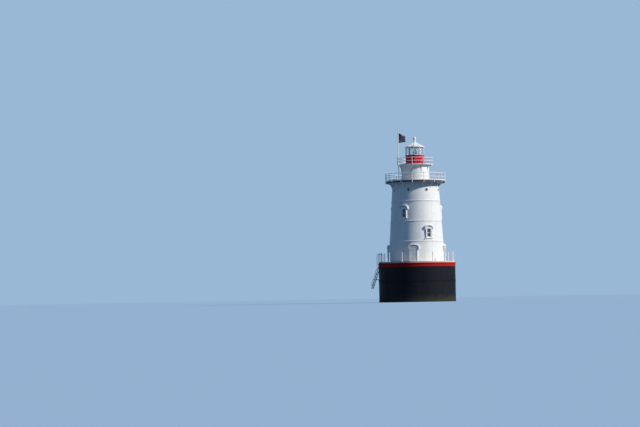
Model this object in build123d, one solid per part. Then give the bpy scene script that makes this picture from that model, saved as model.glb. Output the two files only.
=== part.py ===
from build123d import *

import os
from math import cos, hypot, radians, sin

# Sizes are millimetres. The origin is the middle of the caisson's foot and +Z is up.
# A bearing is an angle in degrees about the tower's axis: 0 is at the front door, which
# faces -Y, and it grows towards +X.

# Fit between pieces
SEAT = 0.3                      # gap left where curved faces meet

# Caisson, a drum of cast-iron plates filled with concrete
CAISSON_RADIUS = 4572.0
CAISSON_PLATE = 38.0
CAISSON_SEAM = 2460.0           # height of the joint between the two rows of plates
RIM_LOW = 4180.0
RIM_TOP = 4640.0
RIM_BAND = 18.0                 # how far the rim stands out from the caisson plates
RIM_LIP = 62.0                  # how far its top lip does
RIM_LIP_DEPTH = 140.0
DECK = 4800.0                   # level of the deck that the tower stands on
DECK_SLAB = 250.0

# Stanchions round the deck
STANCHION_COUNT = 15
STANCHION_FIRST = 7.0
STANCHION_INSET = 105.0         # from the deck's edge to the middle of a stanchion
STANCHION_RADIUS = 44.0
STANCHION_HEIGHT = 1100.0
STANCHION_FOOT_RADIUS = 85.0
STANCHION_FOOT = 30.0

# Tower, four courses of cast-iron plates lined with brick
TOWER_FOOT_RADIUS = 3350.0
TOWER_TOP_RADIUS = 2740.0
COURSE_HEIGHT = 2400.0
COURSE_COUNT = 4
WALL = 350.0
PLATES_ROUND = 8
PLATE_ARC = 360.0 / PLATES_ROUND
COURSE_1_BEARING = 0.0          # bearing of the middle of a plate in each course
COURSE_2_BEARING = 33.75
COURSE_3_BEARING = 22.5
COURSE_4_BEARING = 33.75
BAND_HEIGHT = 120.0
BAND_PROJECTION = 45.0
FLOOR_THICKNESS = 90.0

# Doorways and windows of the first course
DOOR_BEARINGS = (0.0, 180.0)
LOWER_WINDOW_BEARINGS = (90.0, 270.0)
DOOR_WIDTH = 700.0
DOOR_HEIGHT = 1550.0
THRESHOLD = 70.0
THRESHOLD_NOSING = 90.0
APRON_HEIGHT = 700.0            # panel below a lower window, above the deck
APRON_RECESS = 40.0
LOWER_CASING = 150.0            # width of the flat casing beside the opening
LOWER_CASING_PROJECTION = 90.0  # from the foot of the wall to the casing's face
LINING = 45.0                   # thickness of the casing where it lines the wall
SILL_DEPTH = 85.0
SILL_NOSING = 50.0              # how far a sill stands out past the casing
SILL_HORN = 110.0               # how far a sill runs past the casing at each side

# Windows of the second and third courses
UPPER_WINDOW_WIDTH = 450.0
UPPER_WINDOW_HEIGHT = 985.0
UPPER_CASING = 180.0
UPPER_CASING_PROJECTION = 60.0
UPPER_SILL_RISE = 280.0         # from the floor to the underside of the sill
COURSE_2_WINDOW_BEARINGS = (33.75, 213.75)
COURSE_3_WINDOW_BEARINGS = (-22.5, 112.5, 247.5)

# Hood moulds over every door and window
HOOD_BAND = 130.0               # width of the moulding seen from the front
HOOD_PROJECTION = 45.0          # how far it stands out past the casing
HOOD_WEATHERING = 60.0          # bevel that sheds the rain off its outer edge
HOOD_MARGIN = 60.0              # from the casing's side to the inside of a dropped end
HOOD_GAP = 40.0                 # from the casing's head to the spring of the arch
LOWER_HOOD_RISE = 115.0
LOWER_HOOD_DROP = 420.0         # length of a dropped end below the spring
UPPER_HOOD_RISE = 170.0
UPPER_HOOD_DROP = 290.0
CONSOLE_DROP = 150.0            # taper at the foot of a dropped end

# Sashes
SASH_RAIL = 48.0
SASH_DEPTH = 45.0
SASH_RECESS = 95.0              # from the casing's face to the sash
PANE = 8.0

# Door leaves and their hinges
DOOR_GAP = 9.0
DOOR_THICKNESS = 45.0
DOOR_STILE = 105.0
DOOR_LOCK_RAIL = 150.0
DOOR_PANEL_SINK = 12.0
DOOR_FIELD_MARGIN = 38.0
HINGE_STAND_OFF = 22.0          # from the casing's face to the middle of the pin
PIN_RADIUS = 8.0
KNUCKLE_RADIUS = 16.0
KNUCKLE_HEIGHT = 70.0
STRAP_LENGTH = 430.0
STRAP_THICKNESS = 9.0
HINGE_INSET = 260.0             # from the ends of the leaf to the middle of a hinge
PINTLE_PLATE = 75.0
PINTLE_DEPTH = 26.0
LOCK_RAIL_SHARE = 0.45          # height of the lock rail as a share of the leaf's
KNOB_RADIUS = 30.0
KNOB_ROSE_RADIUS = 33.0
KNOB_ROSE = 6.0
KNOB_NECK_RADIUS = 10.0
KNOB_REACH = 58.0
KNOB_HEIGHT = 780.0
KNOB_INSET = 55.0

# Portholes of the fourth course
PORTHOLE_RISE = 1290.0          # from the fourth floor to the middle of a porthole
PORTHOLE_RADIUS = 150.0
PORTHOLE_TUBE = 35.0
PORTHOLE_FLANGE = 75.0
PORTHOLE_FLANGE_DEPTH = 32.0
PORTHOLE_GLASS_INSET = 70.0

# Main gallery
GALLERY_OVERHANG = 790.0        # from the top of the tower's wall to the deck's edge
GALLERY_PLATE = 80.0
GALLERY_FASCIA = 50.0
GALLERY_FASCIA_DEPTH = 230.0
GALLERY_POSTS = 16
GALLERY_POST_FIRST = 0.0
GALLERY_RAIL_HEIGHT = 880.0
BRACKET_REACH = 640.0
BRACKET_DROP = 780.0
BRACKET_NOSE = 70.0
BRACKET_THICKNESS = 32.0
BRACKET_HOLLOW = 0.12           # how hollow a bracket's curve is, as a share of its drop

# Railings of both galleries
POST_RADIUS = 32.0
POST_RISE = 100.0               # from the middle of the top rail to a post's top
RAIL_RADIUS = 30.0
TOE_BOARD = 110.0               # height of the plate along the main gallery's edge
TOE_BOARD_THICKNESS = 14.0
SHOE_WIDTH = 100.0
SHOE_HEIGHT = 150.0

# Watch room
WATCH_RADIUS = 1650.0
WATCH_WALL = 110.0
WATCH_HEIGHT = 2050.0           # from the main gallery to the lantern gallery
WATCH_SEAM = -12.6
WATCH_DOOR_WIDTH = 600.0
WATCH_DOOR_HEIGHT = 1500.0
WATCH_DOOR_SILL = 80.0
WATCH_CASING = 90.0
WATCH_CASING_PROJECTION = 55.0

# Lantern gallery
LANTERN_GALLERY_RADIUS = 2080.0
LANTERN_GALLERY_PLATE = 80.0
LANTERN_FASCIA = 45.0
LANTERN_FASCIA_DEPTH = 120.0
LANTERN_POSTS = 10
LANTERN_POST_FIRST = -3.0
LANTERN_RAIL_HEIGHT = 720.0
COVE_REACH = 330.0
COVE_DROP = 800.0
COVE_NOSE = 60.0
COVE_THICKNESS = 40.0

# Lantern
LANTERN_SIDES = 10
LANTERN_FIRST = 3.0             # bearing of one corner
LANTERN_RADIUS = 1140.0         # to the corners of the parapet
PARAPET_HEIGHT = 1070.0
PARAPET_WALL = 60.0
PARAPET_CAP = 35.0
PARAPET_CAP_DEPTH = 70.0
GLAZING_HEIGHT = 950.0
MULLION_WIDTH = 90.0
MULLION_DEPTH = 88.0
LANTERN_PANE = 12.0
EAVE_PROJECTION = 80.0
EAVE_DEPTH = 70.0
ROOF_RISE = 560.0
ROOF_SHELL = 45.0
ROOF_KNEE_RADIUS = 0.4          # where the slope changes, as a share of the eave's radius
ROOF_KNEE_RISE = 0.62           # and of the roof's rise
ROOF_NECK_RADIUS = 150.0
VENT_NECK_RADIUS = 130.0
VENT_NECK = 350.0
VENT_BALL_RADIUS = 175.0
VENT_SPIKE = 110.0

# Beacon inside the lantern
BEACON_FOOT_RADIUS = 190.0
BEACON_FOOT = 60.0
BEACON_POST_RADIUS = 95.0
BEACON_POST = 1080.0
BEACON_LENS_RADIUS = 200.0
BEACON_LENS = 520.0
BEACON_SHOULDER = 0.3           # taper at both ends of the lens, as a share of its height
BEACON_WAIST = 0.72             # radius at its ends, as a share of the radius at its middle

# Flagpole, which stands on the main gallery
POLE_BEARING = -55.0
POLE_GAP = 12.0                 # from the lantern gallery's rails to the pole
POLE_FOOT_RADIUS = 62.0
POLE_TOP_RADIUS = 40.0
POLE_OVER_FLAG = 460.0          # from the flag's top to the pole's
POLE_SHOE = 25.0                # plate under the pole's foot
TRUCK_RADIUS = 70.0
CLAMP_GRIP = 18.0               # metal of the clamp round the pole
FLAG_HOIST = 1165.0
FLAG_FLY = 1300.0
FLAG_LIFT = 420.0               # from the top of the lantern's eave to the flag's foot
FLAG_THICKNESS = 36.0
FLAG_HEADING = -50.0            # angle from +X that the flag flies at
FLAG_DROOP = 330.0
FLAG_SWING = 0.09               # depth of its waves, as a share of the fly
FLAG_BENDS = (0.17, 0.5)        # where they are, as shares of the fly
CLIP_GAP = 35.0                 # from the pole to the flag's hoist
CLIP_RADIUS = 11.0
CLIP_INSET = 60.0

# Boat ladder at the caisson's side
LADDER_BEARING = -60.0
LADDER_WIDTH = 460.0
LADDER_FOOT = 1640.0            # height of the lower ends of the stiles
LADDER_FOOT_REACH = 1210.0      # how far out from the caisson the lower ends are
LADDER_TOP_GAP = 35.0           # from the rim's lip to the stiles, at rim height
LADDER_STILE_DEPTH = 85.0
LADDER_STILE = 22.0
RUNG_RADIUS = 16.0
RUNG_PITCH = 300.0
LADDER_HOOK = 20.0
STRUT_HEIGHT = 2800.0           # at the stiles
STRUT_DROP = 260.0              # how far a strut falls towards the caisson
STRUT_RADIUS = 22.0
HANDRAIL_RADIUS = 24.0
HANDRAIL_OFFSET = 130.0         # from the stiles to the middle of a handrail
HANDRAIL_BULGE = 305.0          # the same at rim height
HANDRAIL_HEIGHT = 940.0         # above the deck
HANDRAIL_INSET = 154.0          # from the rim's lip to the handrail's foot on the deck
HANDRAIL_BEND = 180.0
HANDRAIL_LOW = 2100.0
HANDRAIL_STAY_RADIUS = 16.0

# The watch room's door is at the back, midway between two brackets
WATCH_DOOR_BEARING = LANTERN_POST_FIRST + (LANTERN_POSTS + 1) * 180 / LANTERN_POSTS

TOWER_HEIGHT = COURSE_HEIGHT * COURSE_COUNT
GALLERY_RADIUS = TOWER_TOP_RADIUS + GALLERY_OVERHANG
GALLERY = DECK + TOWER_HEIGHT
LANTERN_GALLERY = GALLERY + WATCH_HEIGHT
PARAPET_TOP = LANTERN_GALLERY + PARAPET_HEIGHT
EAVE = PARAPET_TOP + GLAZING_HEIGHT
CORE_RADIUS = CAISSON_RADIUS - CAISSON_PLATE
FROM_START = (Align.CENTER, Align.CENTER, Align.MIN)
FORWARD = (0, -1, 0)


def turned(points, start=0.0, arc=360.0):
    """A body of revolution about the tower's axis, from (radius, height) points."""
    outline = make_face(Plane.XZ * Polyline(*points, close=True))
    return Rot(0, 0, start - 90) * revolve(outline, Axis.Z, arc)


def at(bearing, *pieces):
    """The pieces, modelled in front of the axis, turned round to a bearing."""
    return [Rot(0, 0, bearing) * piece for piece in pieces]


def block(left, right, near, far, low, high):
    """A block in front of the axis; near and far are distances out from the axis."""
    middle = Pos((left + right) / 2, -(near + far) / 2, (low + high) / 2)
    return middle * Box(right - left, far - near, high - low)


def upright(points, width, middle=0.0):
    """A flat plate that stands in a radial plane, from (radius, height) points."""
    outline = make_face(Plane.XZ * Polyline(*points, close=True))
    plate = extrude(outline, width / 2, both=True)
    return Pos(middle, 0, 0) * Rot(0, 0, -90) * plate


def tower_radius(height):
    """Outside radius of the tower's wall at a height."""
    rise = (height - DECK) / TOWER_HEIGHT
    return TOWER_FOOT_RADIUS + (TOWER_TOP_RADIUS - TOWER_FOOT_RADIUS) * rise


def outward(solid, radius_at, low, high):
    """The solid with everything inside a radius cut away, between two heights."""
    return solid - turned([(0, low), (radius_at(low), low), (radius_at(high), high), (0, high)])


def outside_tower(solid):
    """The solid cut back to the outside face of the tower's wall."""
    return outward(solid, tower_radius, DECK, GALLERY)


def outside_rooms(solid):
    """The solid cut back to the inside face of the tower's wall."""
    return outward(solid, lambda height: tower_radius(height) - WALL, DECK, GALLERY)


def panel(start, end, outer, inner, low, high):
    """A flat-faced panel between two bearings; the radii are to its corners."""
    corners = [(outer, start), (outer, end), (inner, end), (inner, start)]
    points = [(radius * sin(radians(b)), -radius * cos(radians(b))) for radius, b in corners]
    return Pos(0, 0, low) * extrude(make_face(Polyline(*points, close=True)), high - low)


# Caisson

def caisson_parts():
    deck_low = DECK - DECK_SLAB
    core = Pos(0, 0, deck_low / 2) * Cylinder(CORE_RADIUS, deck_low)
    lower = turned([(CORE_RADIUS, 0), (CAISSON_RADIUS, 0),
                    (CAISSON_RADIUS, CAISSON_SEAM), (CORE_RADIUS, CAISSON_SEAM)])
    upper = turned([(CORE_RADIUS, CAISSON_SEAM), (CAISSON_RADIUS, CAISSON_SEAM),
                    (CAISSON_RADIUS, RIM_LOW), (CORE_RADIUS, RIM_LOW)])
    lip_low = RIM_TOP - RIM_LIP_DEPTH
    band = CAISSON_RADIUS + RIM_BAND
    lip = CAISSON_RADIUS + RIM_LIP
    rim = turned([(CORE_RADIUS, RIM_LOW), (band, RIM_LOW), (band, lip_low - (lip - band)),
                  (lip, lip_low), (lip, RIM_TOP), (CORE_RADIUS, RIM_TOP)])
    slab = Pos(0, 0, DECK - DECK_SLAB / 2) * Cylinder(CORE_RADIUS, DECK_SLAB)
    return {"caisson_core": [core], "caisson_lower_plates": [lower],
            "caisson_upper_plates": [upper], "caisson_rim": [rim], "caisson_deck": [slab]}


def stanchions():
    """White posts that stand on the deck near its edge, each with a round foot and cap."""
    reach = CORE_RADIUS - STANCHION_INSET
    top = DECK + STANCHION_HEIGHT
    post = Pos(0, -reach, 0) * turned([
        (0, DECK), (STANCHION_FOOT_RADIUS, DECK), (STANCHION_FOOT_RADIUS, DECK + STANCHION_FOOT),
        (STANCHION_RADIUS, DECK + STANCHION_FOOT), (STANCHION_RADIUS, top - STANCHION_RADIUS),
        (STANCHION_RADIUS / 2, top), (0, top)])
    step = 360 / STANCHION_COUNT
    return [Rot(0, 0, STANCHION_FIRST + i * step) * post for i in range(STANCHION_COUNT)]


# Tower wall

def course_plate(course, middle):
    """One wall plate with its lining; course counts from 0."""
    low = DECK + course * COURSE_HEIGHT
    high = low + COURSE_HEIGHT
    if course == COURSE_COUNT - 1:
        high -= GALLERY_PLATE
    return turned([(tower_radius(low) - WALL, low), (tower_radius(low), low),
                   (tower_radius(high), high), (tower_radius(high) - WALL, high)],
                  middle - PLATE_ARC / 2, PLATE_ARC)


def course_plates(course, first, cut=None):
    """Every other plate of a course, with a cut through each one that has a window."""
    plates = []
    for i in range(PLATES_ROUND // 2):
        bearing = first + 2 * i * PLATE_ARC
        plate = course_plate(course, bearing)
        opening = cut(bearing) if cut else None
        plates.append(plate - opening if opening else plate)
    return plates


def same_bearing(a, b):
    return abs((a - b + 180) % 360 - 180) < 1


DOOR_SILL = DECK + THRESHOLD
DOOR_HEAD = DOOR_SILL + DOOR_HEIGHT
LOWER_SILL = DECK + APRON_HEIGHT + SILL_DEPTH
LOWER_FACE = TOWER_FOOT_RADIUS + LOWER_CASING_PROJECTION
HOLE_NEAR = TOWER_TOP_RADIUS - 2 * WALL
HOLE_FAR = TOWER_FOOT_RADIUS + WALL


def wall_hole(width, low, high):
    """What the wall loses for an opening, lined with the casing all round."""
    side = width / 2 + LINING
    return block(-side, side, HOLE_NEAR, HOLE_FAR, low - LINING, high + LINING)


def first_course():
    """Jambs and lintels at the doors, plates with windows, and plain plates between."""
    side = DOOR_WIDTH / 2 + LINING
    top = DECK + COURSE_HEIGHT
    head = DOOR_HEAD + LINING
    gap = block(-side, side, HOLE_NEAR, HOLE_FAR, DECK, top)
    over = block(-side, side, HOLE_NEAR, HOLE_FAR, head, top)
    plate = course_plate(0, COURSE_1_BEARING)
    jambs = (plate - gap).solids()
    lintel = plate & over
    window = plate - wall_hole(DOOR_WIDTH, LOWER_SILL, DOOR_HEAD)
    return {
        "course_1_door_plates": [j for b in DOOR_BEARINGS for j in at(b, *jambs)],
        "course_1_lintels": [p for b in DOOR_BEARINGS for p in at(b, lintel)],
        "course_1_window_plates": [p for b in LOWER_WINDOW_BEARINGS for p in at(b, window)],
        "course_1_plain_plates": course_plates(0, COURSE_1_BEARING + PLATE_ARC),
    }


def upper_window_sill(course):
    """Height of the clear opening's lower edge in an upper course."""
    return DECK + course * COURSE_HEIGHT + UPPER_SILL_RISE + SILL_DEPTH + UPPER_CASING / 2


def upper_courses():
    def window_cut(course, bearings):
        sill = upper_window_sill(course)
        hole = wall_hole(UPPER_WINDOW_WIDTH, sill, sill + UPPER_WINDOW_HEIGHT)

        def cut(bearing):
            if any(same_bearing(bearing, b) for b in bearings):
                return Rot(0, 0, bearing) * hole
            return None
        return cut

    hole_radius = PORTHOLE_RADIUS + PORTHOLE_TUBE
    port = Pos(0, 0, porthole_height()) * Rot(90, 0, 0) * Cylinder(
        hole_radius, HOLE_FAR, align=FROM_START)

    def port_cut(bearing):
        return Rot(0, 0, bearing) * port

    cut_2 = window_cut(1, COURSE_2_WINDOW_BEARINGS)
    cut_3 = window_cut(2, COURSE_3_WINDOW_BEARINGS)
    return {
        "course_2_window_plates": course_plates(1, COURSE_2_BEARING, cut_2),
        "course_2_plain_plates": course_plates(1, COURSE_2_BEARING + PLATE_ARC, cut_2),
        "course_3_plates_a": course_plates(2, COURSE_3_BEARING + PLATE_ARC, cut_3),
        "course_3_plates_b": course_plates(2, COURSE_3_BEARING, cut_3),
        "course_4_plates_a": course_plates(3, COURSE_4_BEARING, port_cut),
        "course_4_plates_b": course_plates(3, COURSE_4_BEARING + PLATE_ARC, port_cut),
    }


def bands():
    """The ledge that covers each joint between two courses."""
    rings = []
    for course in range(1, COURSE_COUNT):
        joint = DECK + course * COURSE_HEIGHT
        low = joint - BAND_HEIGHT / 2
        high = joint + BAND_HEIGHT / 2
        face = tower_radius(joint) + BAND_PROJECTION
        rings.append(turned([(tower_radius(low), low), (face, low + BAND_PROJECTION),
                             (face, high - BAND_PROJECTION / 2), (tower_radius(high), high)]))
    return rings


def floors():
    """Iron floors of the second, third and fourth storeys, each inside the wall."""
    discs = []
    for course in range(1, COURSE_COUNT):
        top = DECK + course * COURSE_HEIGHT
        low = top - FLOOR_THICKNESS
        inner = WALL + SEAT
        discs.append(turned([(0, low), (tower_radius(low) - inner, low),
                             (tower_radius(top) - inner, top), (0, top)]))
    return discs


# Casings, hoods, sills and sashes

def surround(width, casing, low, high, foot, face):
    """A cast casing: a flat frame outside the wall and a lining through it.

    low and high bound the clear opening, foot is where the frame ends below and face is
    the distance of the frame's front from the axis."""
    side = width / 2
    frame = outside_tower(block(-side - casing, side + casing, HOLE_NEAR, face,
                                foot, high + casing))
    lining_foot = max(low - LINING, DECK)
    lining = outside_rooms(block(-side - LINING, side + LINING, HOLE_NEAR, face, lining_foot,
                                 high + LINING))
    return frame + lining - block(-side, side, HOLE_NEAR, HOLE_FAR, low, high)


def hood(width, casing, high, face, rise, drop):
    """An arched label over the casing, with ends that drop to small tapered consoles."""
    inner = width / 2 + casing + HOOD_MARGIN
    outer = inner + HOOD_BAND
    spring = high + casing + HOOD_GAP
    end = spring - drop
    front = face + HOOD_PROJECTION

    def arch(side, crown, foot):
        outline = [Line((-side, foot), (-side, spring)),
                   ThreePointArc((-side, spring), (0, spring + crown), (side, spring)),
                   Line((side, spring), (side, foot)),
                   Line((side, foot), (-side, foot))]
        return extrude(make_face(Plane.XZ * Curve(children=outline)), front, dir=FORWARD)

    solid_arch = arch(outer, rise + HOOD_BAND, end)
    rim = solid_arch.faces().sort_by(Axis.Y)[0].edges().sort_by(Axis.Z)[1:]
    label = chamfer(rim, HOOD_WEATHERING) - arch(inner, rise, end)
    taper = upright([(face - LINING, end - 1), (front + 1, end - 1),
                     (front + 1, end + CONSOLE_DROP)], 2 * outer + 2)
    return outside_tower(label - block(-outer, outer, 0, HOLE_NEAR, 0, spring * 2) - taper)


def sill(width, casing, top, face):
    side = width / 2 + casing + SILL_HORN
    slab = block(-side, side, HOLE_NEAR, face + SILL_NOSING, top - SILL_DEPTH, top)
    return outside_tower(slab)


def sash(width, low, high, face):
    """The sash frame with its meeting rail, and the upper and lower panes."""
    side = width / 2
    far = face - SASH_RECESS
    near = far - SASH_DEPTH
    middle = (low + high) / 2
    glass_near = (near + far - PANE) / 2
    frame = block(-side, side, near, far, low, high)
    panes = []
    for bottom, top in ((low + SASH_RAIL, middle - SASH_RAIL / 2),
                        (middle + SASH_RAIL / 2, high - SASH_RAIL)):
        frame -= block(SASH_RAIL - side, side - SASH_RAIL, near - 1, far + 1, bottom, top)
        panes.append(block(SASH_RAIL - side, side - SASH_RAIL, glass_near, glass_near + PANE,
                           bottom, top))
    return frame, panes


def openings():
    """Casing, hood, sill, sash and glass for every door and window."""
    parts = {name: [] for name in ("door_surrounds", "window_surrounds", "door_hoods",
                                   "window_hoods", "window_sills", "window_aprons",
                                   "window_sashes", "window_glass", "door_thresholds")}

    door = surround(DOOR_WIDTH, LOWER_CASING, DECK, DOOR_HEAD, DECK, LOWER_FACE)
    lower_hood = hood(DOOR_WIDTH, LOWER_CASING, DOOR_HEAD, LOWER_FACE, LOWER_HOOD_RISE,
                      LOWER_HOOD_DROP)
    side = DOOR_WIDTH / 2
    step = outside_rooms(block(-side, side, HOLE_NEAR, LOWER_FACE + THRESHOLD_NOSING,
                               DECK, DOOR_SILL))
    for bearing in DOOR_BEARINGS:
        parts["door_surrounds"] += at(bearing, door)
        parts["door_hoods"] += at(bearing, lower_hood)
        parts["door_thresholds"] += at(bearing, step)

    window = surround(DOOR_WIDTH, LOWER_CASING, LOWER_SILL, DOOR_HEAD, LOWER_SILL, LOWER_FACE)
    lower_sill = sill(DOOR_WIDTH, LOWER_CASING, LOWER_SILL - LINING, LOWER_FACE)
    window += outside_tower(block(-side - LOWER_CASING, side + LOWER_CASING, HOLE_NEAR,
                                  LOWER_FACE, LOWER_SILL - LINING, LOWER_SILL))
    apron = lower_apron()
    frame, panes = sash(DOOR_WIDTH, LOWER_SILL, DOOR_HEAD, LOWER_FACE)
    for bearing in LOWER_WINDOW_BEARINGS:
        parts["window_surrounds"] += at(bearing, window)
        parts["window_hoods"] += at(bearing, lower_hood)
        parts["window_sills"] += at(bearing, lower_sill)
        parts["window_aprons"] += at(bearing, apron)
        parts["window_sashes"] += at(bearing, frame)
        parts["window_glass"] += at(bearing, *panes)

    for course, bearings in ((1, COURSE_2_WINDOW_BEARINGS), (2, COURSE_3_WINDOW_BEARINGS)):
        low = upper_window_sill(course)
        high = low + UPPER_WINDOW_HEIGHT
        foot = low - UPPER_CASING / 2
        face = tower_radius(foot - SILL_DEPTH) + UPPER_CASING_PROJECTION
        casing = surround(UPPER_WINDOW_WIDTH, UPPER_CASING, low, high, foot, face)
        label = hood(UPPER_WINDOW_WIDTH, UPPER_CASING, high, face, UPPER_HOOD_RISE,
                     UPPER_HOOD_DROP)
        slab = sill(UPPER_WINDOW_WIDTH, UPPER_CASING, foot, face)
        frame, panes = sash(UPPER_WINDOW_WIDTH, low, high, face)
        for bearing in bearings:
            parts["window_surrounds"] += at(bearing, casing)
            parts["window_hoods"] += at(bearing, label)
            parts["window_sills"] += at(bearing, slab)
            parts["window_sashes"] += at(bearing, frame)
            parts["window_glass"] += at(bearing, *panes)
    return parts


def lower_apron():
    """The panel that fills the casing below a lower window, down to the deck."""
    side = DOOR_WIDTH / 2 + LOWER_CASING
    top = LOWER_SILL - LINING - SILL_DEPTH
    apron = block(-side, side, HOLE_NEAR, LOWER_FACE, DECK, top)
    apron -= block(-DOOR_WIDTH / 2, DOOR_WIDTH / 2, LOWER_FACE - APRON_RECESS, LOWER_FACE + 1,
                   DECK + LOWER_CASING, top - LOWER_CASING / 2)
    return outside_tower(apron)


# Door leaves and hinges

HINGE_HEIGHTS = (DOOR_SILL + DOOR_GAP + HINGE_INSET, DOOR_HEAD - DOOR_GAP - HINGE_INSET)
PIN_OUT = LOWER_FACE + HINGE_STAND_OFF
HINGE_X = -DOOR_WIDTH / 2


def at_pin(solid):
    return Pos(HINGE_X, -PIN_OUT, 0) * solid


def leaf():
    """A panelled leaf, flush with the casing, with strap hinges and a knob."""
    left = HINGE_X + DOOR_GAP
    right = -HINGE_X - DOOR_GAP
    low = DOOR_SILL + DOOR_GAP
    high = DOOR_HEAD - DOOR_GAP
    near = LOWER_FACE - DOOR_THICKNESS
    body = block(left, right, near, LOWER_FACE, low, high)
    lock = low + (high - low) * LOCK_RAIL_SHARE
    bays = ((low + DOOR_STILE, lock - DOOR_LOCK_RAIL / 2),
            (lock + DOOR_LOCK_RAIL / 2, high - DOOR_STILE))
    half = DOOR_STILE / 2
    for bottom, top in bays:
        for a, b in ((left + DOOR_STILE, -half), (half, right - DOOR_STILE)):
            for face, sign in ((LOWER_FACE, -1), (near, 1)):
                edges = sorted((face, face + sign * DOOR_PANEL_SINK))
                inset = DOOR_FIELD_MARGIN
                body -= block(a, b, *edges, bottom, top) - block(
                    a + inset, b - inset, *edges, bottom + inset, top - inset)
    for height in HINGE_HEIGHTS:
        strap = block(left, left + STRAP_LENGTH, LOWER_FACE, LOWER_FACE + STRAP_THICKNESS,
                      height - KNUCKLE_HEIGHT / 2, height + KNUCKLE_HEIGHT / 2)
        knuckle = at_pin(Pos(0, 0, height) * Cylinder(KNUCKLE_RADIUS, KNUCKLE_HEIGHT))
        bore = at_pin(Pos(0, 0, height) * Cylinder(PIN_RADIUS + SEAT, KNUCKLE_HEIGHT * 2))
        body += strap + knuckle
        body -= bore
    knob = Rot(90, 0, 0) * turned([
        (0, 0), (KNOB_ROSE_RADIUS, 0), (KNOB_ROSE_RADIUS, KNOB_ROSE),
        (KNOB_NECK_RADIUS, KNOB_ROSE), (KNOB_NECK_RADIUS, KNOB_REACH - KNOB_RADIUS),
        (KNOB_RADIUS, KNOB_REACH - KNOB_RADIUS / 2), (KNOB_RADIUS / 2, KNOB_REACH),
        (0, KNOB_REACH)])
    spot = (right - KNOB_INSET, low + KNOB_HEIGHT)
    body += Pos(spot[0], -LOWER_FACE, spot[1]) * knob
    body += Pos(spot[0], -near, spot[1]) * Rot(0, 0, 180) * knob
    return body


def pintle(height):
    """A plate on the casing that carries the pin under one knuckle of the leaf."""
    top = height - KNUCKLE_HEIGHT / 2 - SEAT
    low = top - PINTLE_DEPTH
    plate = block(HINGE_X - PINTLE_PLATE, HINGE_X - KNUCKLE_RADIUS, LOWER_FACE,
                  LOWER_FACE + STRAP_THICKNESS, low - PINTLE_DEPTH, top + PINTLE_DEPTH)
    arm = block(HINGE_X - PINTLE_PLATE, HINGE_X, LOWER_FACE, PIN_OUT + PIN_RADIUS, low, top)
    boss = at_pin(Pos(0, 0, (low + top) / 2) * Cylinder(KNUCKLE_RADIUS, PINTLE_DEPTH))
    pin_top = height + KNUCKLE_HEIGHT / 2 + PIN_RADIUS
    pin = at_pin(Pos(0, 0, (low + pin_top) / 2) * Cylinder(PIN_RADIUS, pin_top - low))
    return plate + arm + boss + pin


# Portholes

def porthole_height():
    return DECK + (COURSE_COUNT - 1) * COURSE_HEIGHT + PORTHOLE_RISE


def portholes():
    """Round casings through the wall of the fourth course, and their glass."""
    height = porthole_height()
    wall_face = tower_radius(height)

    def drum(radius, near, far):
        bar = Cylinder(radius, far - near, align=FROM_START)
        return Pos(0, -near, height) * Rot(90, 0, 0) * bar

    outer = wall_face + PORTHOLE_FLANGE_DEPTH
    tube = outside_rooms(drum(PORTHOLE_RADIUS + PORTHOLE_TUBE, HOLE_NEAR, outer))
    flange = outside_tower(drum(PORTHOLE_RADIUS + PORTHOLE_FLANGE, HOLE_NEAR, outer))
    frame = tube + flange - drum(PORTHOLE_RADIUS, 0, HOLE_FAR)
    glass_far = wall_face - PORTHOLE_GLASS_INSET
    glass = drum(PORTHOLE_RADIUS, glass_far - PANE, glass_far)
    frames = []
    panes = []
    for i in range(PLATES_ROUND):
        bearing = COURSE_4_BEARING + i * PLATE_ARC
        frames += at(bearing, frame)
        panes += at(bearing, glass)
    return {"porthole_frames": frames, "porthole_glass": panes}


# Galleries

def gallery_deck(radius, top, plate, fascia, depth):
    """A round deck plate with a deep edge turned down all round it."""
    return turned([(0, top - plate), (radius - fascia - plate, top - plate),
                   (radius - fascia, top - depth), (radius, top - depth),
                   (radius, top - plate / 2), (radius + plate / 4, top - plate / 2),
                   (radius + plate / 4, top), (0, top)])


def bracket(top, wall_top, wall_low, reach, drop, nose, thickness):
    """A thin rib under a gallery; its lower edge is a concave curve down to the wall."""
    low = top - drop
    tip = wall_top + reach
    toe = wall_low + nose / 2
    bulge = ((tip + toe * 2) / 3, (top - nose + low) / 2 + drop * BRACKET_HOLLOW)
    outline = [Line((wall_low, low), (wall_top, top)), Line((wall_top, top), (tip, top)),
               Line((tip, top), (tip, top - nose)),
               ThreePointArc((tip, top - nose), bulge, (toe, low)),
               Line((toe, low), (wall_low, low))]
    rib = extrude(make_face(Plane.XZ * Curve(children=outline)), thickness / 2, both=True)
    return Rot(0, 0, -90) * rib


def rail_reach(deck_radius, deck_plate):
    """Distance from the axis to the posts and rails, which stand clear of the deck's edge."""
    return deck_radius + deck_plate / 4 + SEAT + POST_RADIUS


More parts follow.
